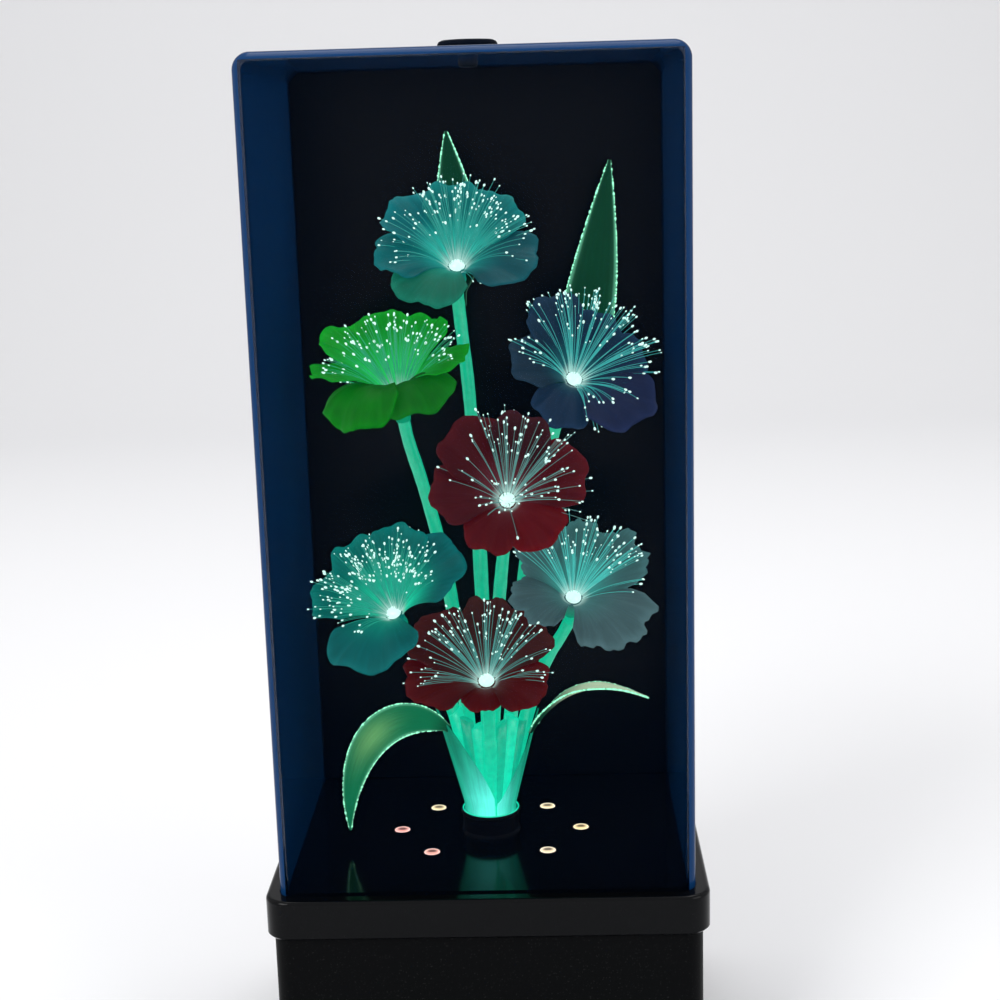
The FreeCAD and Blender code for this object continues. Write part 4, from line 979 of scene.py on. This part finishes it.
def leaf(name, sizes, colours, look, bead_look):
    """A leaf: its blade, the sheath of a low leaf, and the light points along the blade's edges."""
    bare = TALL_STALK if name.startswith("tall") else 0.0
    points, s, t = blade_surface(*LEAVES[name], bare or NO_STALK)
    shapes = [closed_sheet(points, sizes.leaf_thickness)]
    tints = 2 * [blade_tint(name, s, t, bare, colours)]
    uvs = 2 * [np.stack([t * 0.35, s * 3.0], axis=-1).reshape(-1, 2)]
    if name in SHEATHS:
        wrap, z, share = sheath_surface(*SHEATHS[name])
        shapes.append(closed_sheet(wrap, sizes.leaf_thickness))
        tint = sheath_tint_with_painted_light(name, z, share, colours)
        tints += [tint, 0.9 * tint]
        uvs += 2 * [np.stack([share, z * 0.05], axis=-1).reshape(-1, 2)]
    new_piece(name + "_sheet", joined(shapes), np.concatenate(tints), look, [name],
              np.concatenate(uvs))
    rng = np.random.default_rng(len(name))
    rows, cols = s.shape
    beads = []
    for line in (points[:, 0], points[:, cols - 1]):
        pick = np.linspace(3.0 + bare * rows, rows - 2.0, EDGE_LIGHTS) + rng.uniform(-0.3, 0.3, EDGE_LIGHTS)
        base = np.floor(pick).astype(int)
        after = line[np.minimum(base + 1, rows - 1)]
        part = (pick - base)[:, None]
        ahead = unit(after - line[base])
        out = unit(np.cross(ahead, (0.31, 0.52, 0.80)))
        radius = sizes.edge_bead * rng.uniform(0.5, 1.3, EDGE_LIGHTS)
        centres = line[base] * (1 - part) + after * part
        beads.append(tip_beads(centres, ahead, out, np.cross(ahead, out), radius))
    shape = joined(beads)
    tint = np.tile(np.array(colours.leaf_edge) * 1.2 + 0.12, (len(shape[0]), 1))
    new_piece(name + "_edge_lights", shape, tint, bead_look)


def hole_lights(look):
    """Clear plugs in the deck's light holes: low domes, each with the colour of the light under it."""
    shapes, tints = [], []
    for x, y, light in HOLE_LIGHTS:
        verts, faces = turned(PLUG_PROFILE, ROUND_SIDES)
        shapes.append(((verts + (x, y, DECK_Z)) * MM, faces))
        reach = np.hypot(verts[:, 0], verts[:, 1])[:, None] / 3.0
        # Painted shade inside the hole: a darker patch set towards the back of each plug.
        dark = 1.0 - smooth_step(0.9, 2.0, np.hypot(verts[:, 0] * 0.8, verts[:, 1] - 0.9))[:, None]
        # Painted highlight: a lighter ring round the plug's rim.
        tints.append(np.array(srgb(*light)) * (1.0 - 0.8 * dark) + 0.3 * smooth_step(0.7, 0.9, reach))
    new_piece("deck_hole_lights", joined(shapes), np.concatenate(tints), look)


def painted_collar_glow(look, colours):
    """Painted light on the collar's lip: a thin glowing round bead along a circle on the collar's top."""
    angle = np.linspace(0.0, 2 * np.pi, 73)
    ring = [COLLAR_LIP_R * np.cos(angle), COLLAR_LIP_R * np.sin(angle), 0 * angle + COLLAR_H + 0.12]
    radii = np.full(len(angle), COLLAR_LIP_BEAD_R * MM)
    shape = tube(above_deck(np.stack(ring, axis=-1)), radii, 8, (0.0, 0.0, 1.0))
    tint = np.tile(np.array(colours.stem_foot) * 0.75, (len(shape[0]), 1))
    new_piece("collar_painted_glow", shape, tint, look)


# Operators: one for each piece or group of like pieces, and one for the stage
class LampOperator:
    """What the lamp's operators share."""

    bl_options = {"REGISTER"}

    @property
    def sizes(self):
        """Sizes set in the scene."""
        return bpy.context.scene.flower_lamp_sizes

    @property
    def colours(self):
        """Colours set in the scene."""
        return bpy.context.scene.flower_lamp_colours


class FLOWER_LAMP_OT_stems(LampOperator, Operator):
    """Add the seven stems and the short cut sleeves round them"""

    bl_idname = "flower_lamp.stems"
    bl_label = "Stems"

    def execute(self, context):
        look = lit_material("lit_sleeve", 0.25, 0.35)
        for name, flower in FLOWERS.items():
            stem(name, flower, self.sizes, self.colours, look)
        cut_sleeves(self.sizes, self.colours, look)
        return {"FINISHED"}


class FLOWER_LAMP_OT_petals(LampOperator, Operator):
    """Add the petals and calyx of each flower"""

    bl_idname = "flower_lamp.petals"
    bl_label = "Petals"

    def execute(self, context):
        look = sheet_material("petal_sheet")
        for name, flower in FLOWERS.items():
            corolla(name, flower, self.sizes, self.colours, look)
        return {"FINISHED"}


class FLOWER_LAMP_OT_fibres(LampOperator, Operator):
    """Add the fibres of each flower"""

    bl_idname = "flower_lamp.fibres"
    bl_label = "Fibres"

    def execute(self, context):
        look = lit_material("lit_fibre", 0.2, 0.25)
        for seed, (name, flower) in enumerate(FLOWERS.items(), FIRST_SEED):
            spray(name, flower, seed, self.sizes, self.colours, look)
        return {"FINISHED"}


class FLOWER_LAMP_OT_leaves(LampOperator, Operator):
    """Add the tall and low leaves with their lit edges"""

    bl_idname = "flower_lamp.leaves"
    bl_label = "Leaves"

    def execute(self, context):
        look = sheet_material("leaf_sheet")
        bead_look = lit_material("lit_leaf_edge", 0.2, 0.4)
        for name in LEAVES:
            leaf(name, self.sizes, self.colours, look, bead_look)
        return {"FINISHED"}


class FLOWER_LAMP_OT_deck_lights(LampOperator, Operator):
    """Add the lit plugs in the deck's holes and the painted glow on the collar's lip, and light the bundle
    """

    bl_idname = "flower_lamp.deck_lights"
    bl_label = "Deck lights"

    def execute(self, context):
        look = lit_material("lit_plug", 0.3, 0.15)
        hole_lights(look)
        painted_collar_glow(look, self.colours)
        made, tree, shader = material("lit_bundle")
        ends = new_node(tree, "TexVoronoi", {"Scale": 1400.0, "Vector": own_place(tree)})["Distance"]
        ramp = tree.nodes.new("ShaderNodeValToRGB")
        centre, gap = ramp.color_ramp.elements
        centre.color = (*self.colours.tip, 1.0)
        gap.color = (*self.colours.stem, 1.0)
        gap.position = 0.6
        feed(tree, ramp, {"Fac": ends})
        light = ramp.outputs["Color"]
        feed(tree, shader, {"Base Color": light, "Emission Color": light, "Emission Strength": 0.9})
        dress(made, "fibre_trunk")
        return {"FINISHED"}


class FLOWER_LAMP_OT_cover(LampOperator, Operator):
    """Finish the cover, its back panel and its knob"""

    bl_idname = "flower_lamp.cover"
    bl_label = "Cover"

    def execute(self, context):
        colours = self.colours
        dress(tinted_acrylic("tinted_acrylic", colours.cover, colours.cover_back), "cover")
        dress(plastic("panel_gloss", colours.panel, 0.26, specular=0.06, grain=80.0, depth=0.0000005,
                      smudge=0.04, dust=0.0), "back_panel")
        dress(plastic("knob_satin", colours.knob, 0.6, specular=0.02, grain=1400.0, depth=0.00001),
              "lift_knob")
        return {"FINISHED"}


class FLOWER_LAMP_OT_housing(LampOperator, Operator):
    """Finish the deck, body, plate, feet, switch and inlet"""

    bl_idname = "flower_lamp.housing"
    bl_label = "Housing"

    def execute(self, context):
        shell, deck = self.colours.shell, self.colours.deck
        dress(plastic("shell_plastic", shell, 0.42, specular=0.04, depth=0.000012),
              "base_body", "bottom_plate", "switch_housing")
        dress(plastic("deck_gloss", deck, 0.12, specular=0.10, grain=90.0, depth=0.000003, dust=0.006),
              "deck_lid")
        dress(plastic("collar_plastic", deck, 0.5, specular=0.03, depth=0.00001), "bundle_collar")
        dress(plastic("foot_rubber", srgb(22, 22, 22), 0.8, specular=0.25, grain=2200.0, depth=0.00006),
              "foot_front_left", "foot_front_right", "foot_rear_left", "foot_rear_right")
        dress(plastic("rocker_plastic", srgb(26, 26, 28), 0.22, grain=1500.0, depth=0.000008),
              "switch_rocker")
        dress(metal("inlet_nickel", srgb(200, 198, 192), 0.18, lines=0.1), "power_jack", "jack_nut")
        return {"FINISHED"}


class FLOWER_LAMP_OT_mechanism(LampOperator, Operator):
    """Finish the lamp, the colour wheel, its motor and the screws"""

    bl_idname = "flower_lamp.mechanism"
    bl_label = "Mechanism"

    def execute(self, context):
        dress(metal("screw_steel", srgb(176, 178, 180), 0.3),
              "bottom_screws", "deck_screws", "motor_screws", "motor_shaft", "switch_pin")
        dress(metal("blackened_steel", srgb(34, 38, 46), 0.5), "knob_screw")
        dress(metal("sheet_steel", srgb(160, 162, 165), 0.38, lines=0.3, tarnish=0.4),
              "motor", "lamp_bracket")
        dress(metal("ferrule_brass", srgb(205, 170, 96), 0.3), "bundle_ferrule")
        dress(metal("reflector_mirror", srgb(232, 232, 228), 0.06, lines=0.03, tarnish=0.05,
                    depth=0.000002), "reflector")
        dress(plastic("socket_ceramic", srgb(232, 230, 222), 0.45, grain=1600.0), "lamp_socket")
        dress(plastic("wheel_plastic", srgb(36, 36, 38), 0.42), "wheel_frame", "wheel_hub")
        dress(plastic("lead_sleeve", srgb(58, 58, 62), 0.5, grain=1800.0), "internal_leads")
        dress(tinted_clear("bulb_glass", srgb(240, 238, 228), 0.30, 0.9, 0.03, 0.5), "bulb")
        for name, tint in FILTER_TINTS.items():
            dress(tinted_clear("film_" + name, srgb(*tint), 0.6, 0.95, 0.12, 0.4), "filter_" + name)
        return {"FINISHED"}


def add_object(name, data):
    """New object for a mesh, light or camera in the scene."""
    made = bpy.data.objects.new(name, data)
    bpy.context.scene.collection.objects.link(made)
    return made


def place_camera():
    """Camera at the picture's angle: yaw about the upright, pitch down, then roll about its own line."""
    yaw, pitch, roll = CAMERA_TURN
    forward = Vector((-math.sin(yaw) * math.cos(pitch), math.cos(yaw) * math.cos(pitch),
                      -math.sin(pitch)))
    level = Vector((math.cos(yaw), math.sin(yaw), 0.0))
    rise = level.cross(forward)
    right = math.cos(roll) * level + math.sin(roll) * rise
    upward = -math.sin(roll) * level + math.cos(roll) * rise
    data = bpy.data.cameras.new("camera")
    data.lens = CAMERA_LENS
    data.sensor_width = CAMERA_SENSOR
    data.clip_start = CAMERA_NEAR
    camera = add_object("camera", data)
    turn = Matrix((right, upward, -forward)).transposed().to_4x4()
    camera.matrix_world = Matrix.Translation(CAMERA_PLACE) @ turn
    bpy.context.scene.camera = camera


def place_lights():
    """Square area lights that look at the lamp's middle."""
    for name, place, power, width in SOFT_LIGHTS:
        data = bpy.data.lights.new(name, "AREA")
        data.energy = power
        data.size = width
        aim = Vector(LAMP_MIDDLE) - Vector(place)
        turn = aim.to_track_quat("-Z", "Y").to_matrix().to_4x4()
        add_object(name, data).matrix_world = Matrix.Translation(place) @ turn


def add_floor(tint):
    """Floor that sweeps up behind the lamp along a quarter circle."""
    angle = np.linspace(0.0, math.pi / 2, 17)
    bend = [(SWEEP_Y + SWEEP_R * math.sin(a), SWEEP_R - SWEEP_R * math.cos(a)) for a in angle]
    side = [(FLOOR_FRONT_Y, 0.0), *bend, (SWEEP_Y + SWEEP_R, BACKDROP_TOP)]
    line = np.array([(0.0, y, z) for y, z in side])
    places = np.linspace(-FLOOR_SIDE_X, FLOOR_SIDE_X, 5)
    points = np.stack([line + (x, 0.0, 0.0) for x in places], axis=0)
    mesh = bpy.data.meshes.new("floor")
    mesh.from_pydata(points.reshape(-1, 3).tolist(), [], grid_faces(len(places), len(line)).tolist())
    mesh.polygons.foreach_set("use_smooth", np.ones(len(mesh.polygons), bool))
    mesh.materials.append(plastic("pale_floor", tint, 0.85, specular=0.1, grain=300.0, depth=0.0,
                                  smudge=0.05, dust=0.0))
    floor = add_object("floor", mesh)


def pale_world():
    """White world: half as strong for light on the lamp as for what the camera and reflections show."""
    world = bpy.data.worlds.new("studio")
    world.use_nodes = True
    tree = world.node_tree
    rays = new_node(tree, "LightPath", {})
    seen = rays["Is Camera Ray"]
    for label in ("Is Glossy Ray", "Is Transmission Ray"):
        seen = calc(tree, "MAXIMUM", seen, rays[label])
    strength = calc(tree, "ADD", calc(tree, "MULTIPLY", seen, 0.5), 0.5)
    feed(tree, tree.nodes["Background"], {"Color": (1.0, 1.0, 1.0, 1.0), "Strength": strength})
    return world


class FLOWER_LAMP_OT_stage(LampOperator, Operator):
    """Add the floor, backdrop, lights, world and camera"""

    bl_idname = "flower_lamp.stage"
    bl_label = "Stage"

    def execute(self, context):
        add_floor(self.colours.floor)
        context.scene.world = pale_world()
        context.scene.view_settings.view_transform = "Standard"
        place_lights()
        place_camera()
        return {"FINISHED"}


class FLOWER_LAMP_PT_sidebar(Panel):
    """Lists the lamp's operators and its settings"""

    bl_idname = "FLOWER_LAMP_PT_sidebar"
    bl_label = "Flower Lamp"
    bl_space_type = "VIEW_3D"
    bl_region_type = "UI"
    bl_category = "Flower Lamp"

    def draw(self, context):
        for operator in OPERATORS:
            self.layout.operator(operator.bl_idname)
        for group in (context.scene.flower_lamp_sizes, context.scene.flower_lamp_colours):
            box = self.layout.box()
            for key in group.bl_rna.properties.keys():
                if key not in {"rna_type", "name"}:
                    box.prop(group, key)


OPERATORS = (FLOWER_LAMP_OT_stems, FLOWER_LAMP_OT_petals, FLOWER_LAMP_OT_fibres, FLOWER_LAMP_OT_leaves,
             FLOWER_LAMP_OT_deck_lights, FLOWER_LAMP_OT_cover, FLOWER_LAMP_OT_housing,
             FLOWER_LAMP_OT_mechanism, FLOWER_LAMP_OT_stage)
CLASSES = (LampSizes, LampColours, *OPERATORS, FLOWER_LAMP_PT_sidebar)


def register():
    """Registers the classes and gives the scene its settings."""
    for cls in CLASSES:
        bpy.utils.register_class(cls)
    bpy.types.Scene.flower_lamp_sizes = PointerProperty(type=LampSizes)
    bpy.types.Scene.flower_lamp_colours = PointerProperty(type=LampColours)


def unregister():
    """Takes the settings and the classes away again."""
    del bpy.types.Scene.flower_lamp_colours
    del bpy.types.Scene.flower_lamp_sizes
    for cls in reversed(CLASSES):
        bpy.utils.unregister_class(cls)


def main():
    """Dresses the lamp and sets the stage."""
    register()
    bpy.ops.flower_lamp.stems()
    bpy.ops.flower_lamp.petals()
    bpy.ops.flower_lamp.fibres()
    bpy.ops.flower_lamp.leaves()
    bpy.ops.flower_lamp.deck_lights()
    bpy.ops.flower_lamp.cover()
    bpy.ops.flower_lamp.housing()
    bpy.ops.flower_lamp.mechanism()
    bpy.ops.flower_lamp.stage()


if __name__ == "__main__":
    main()
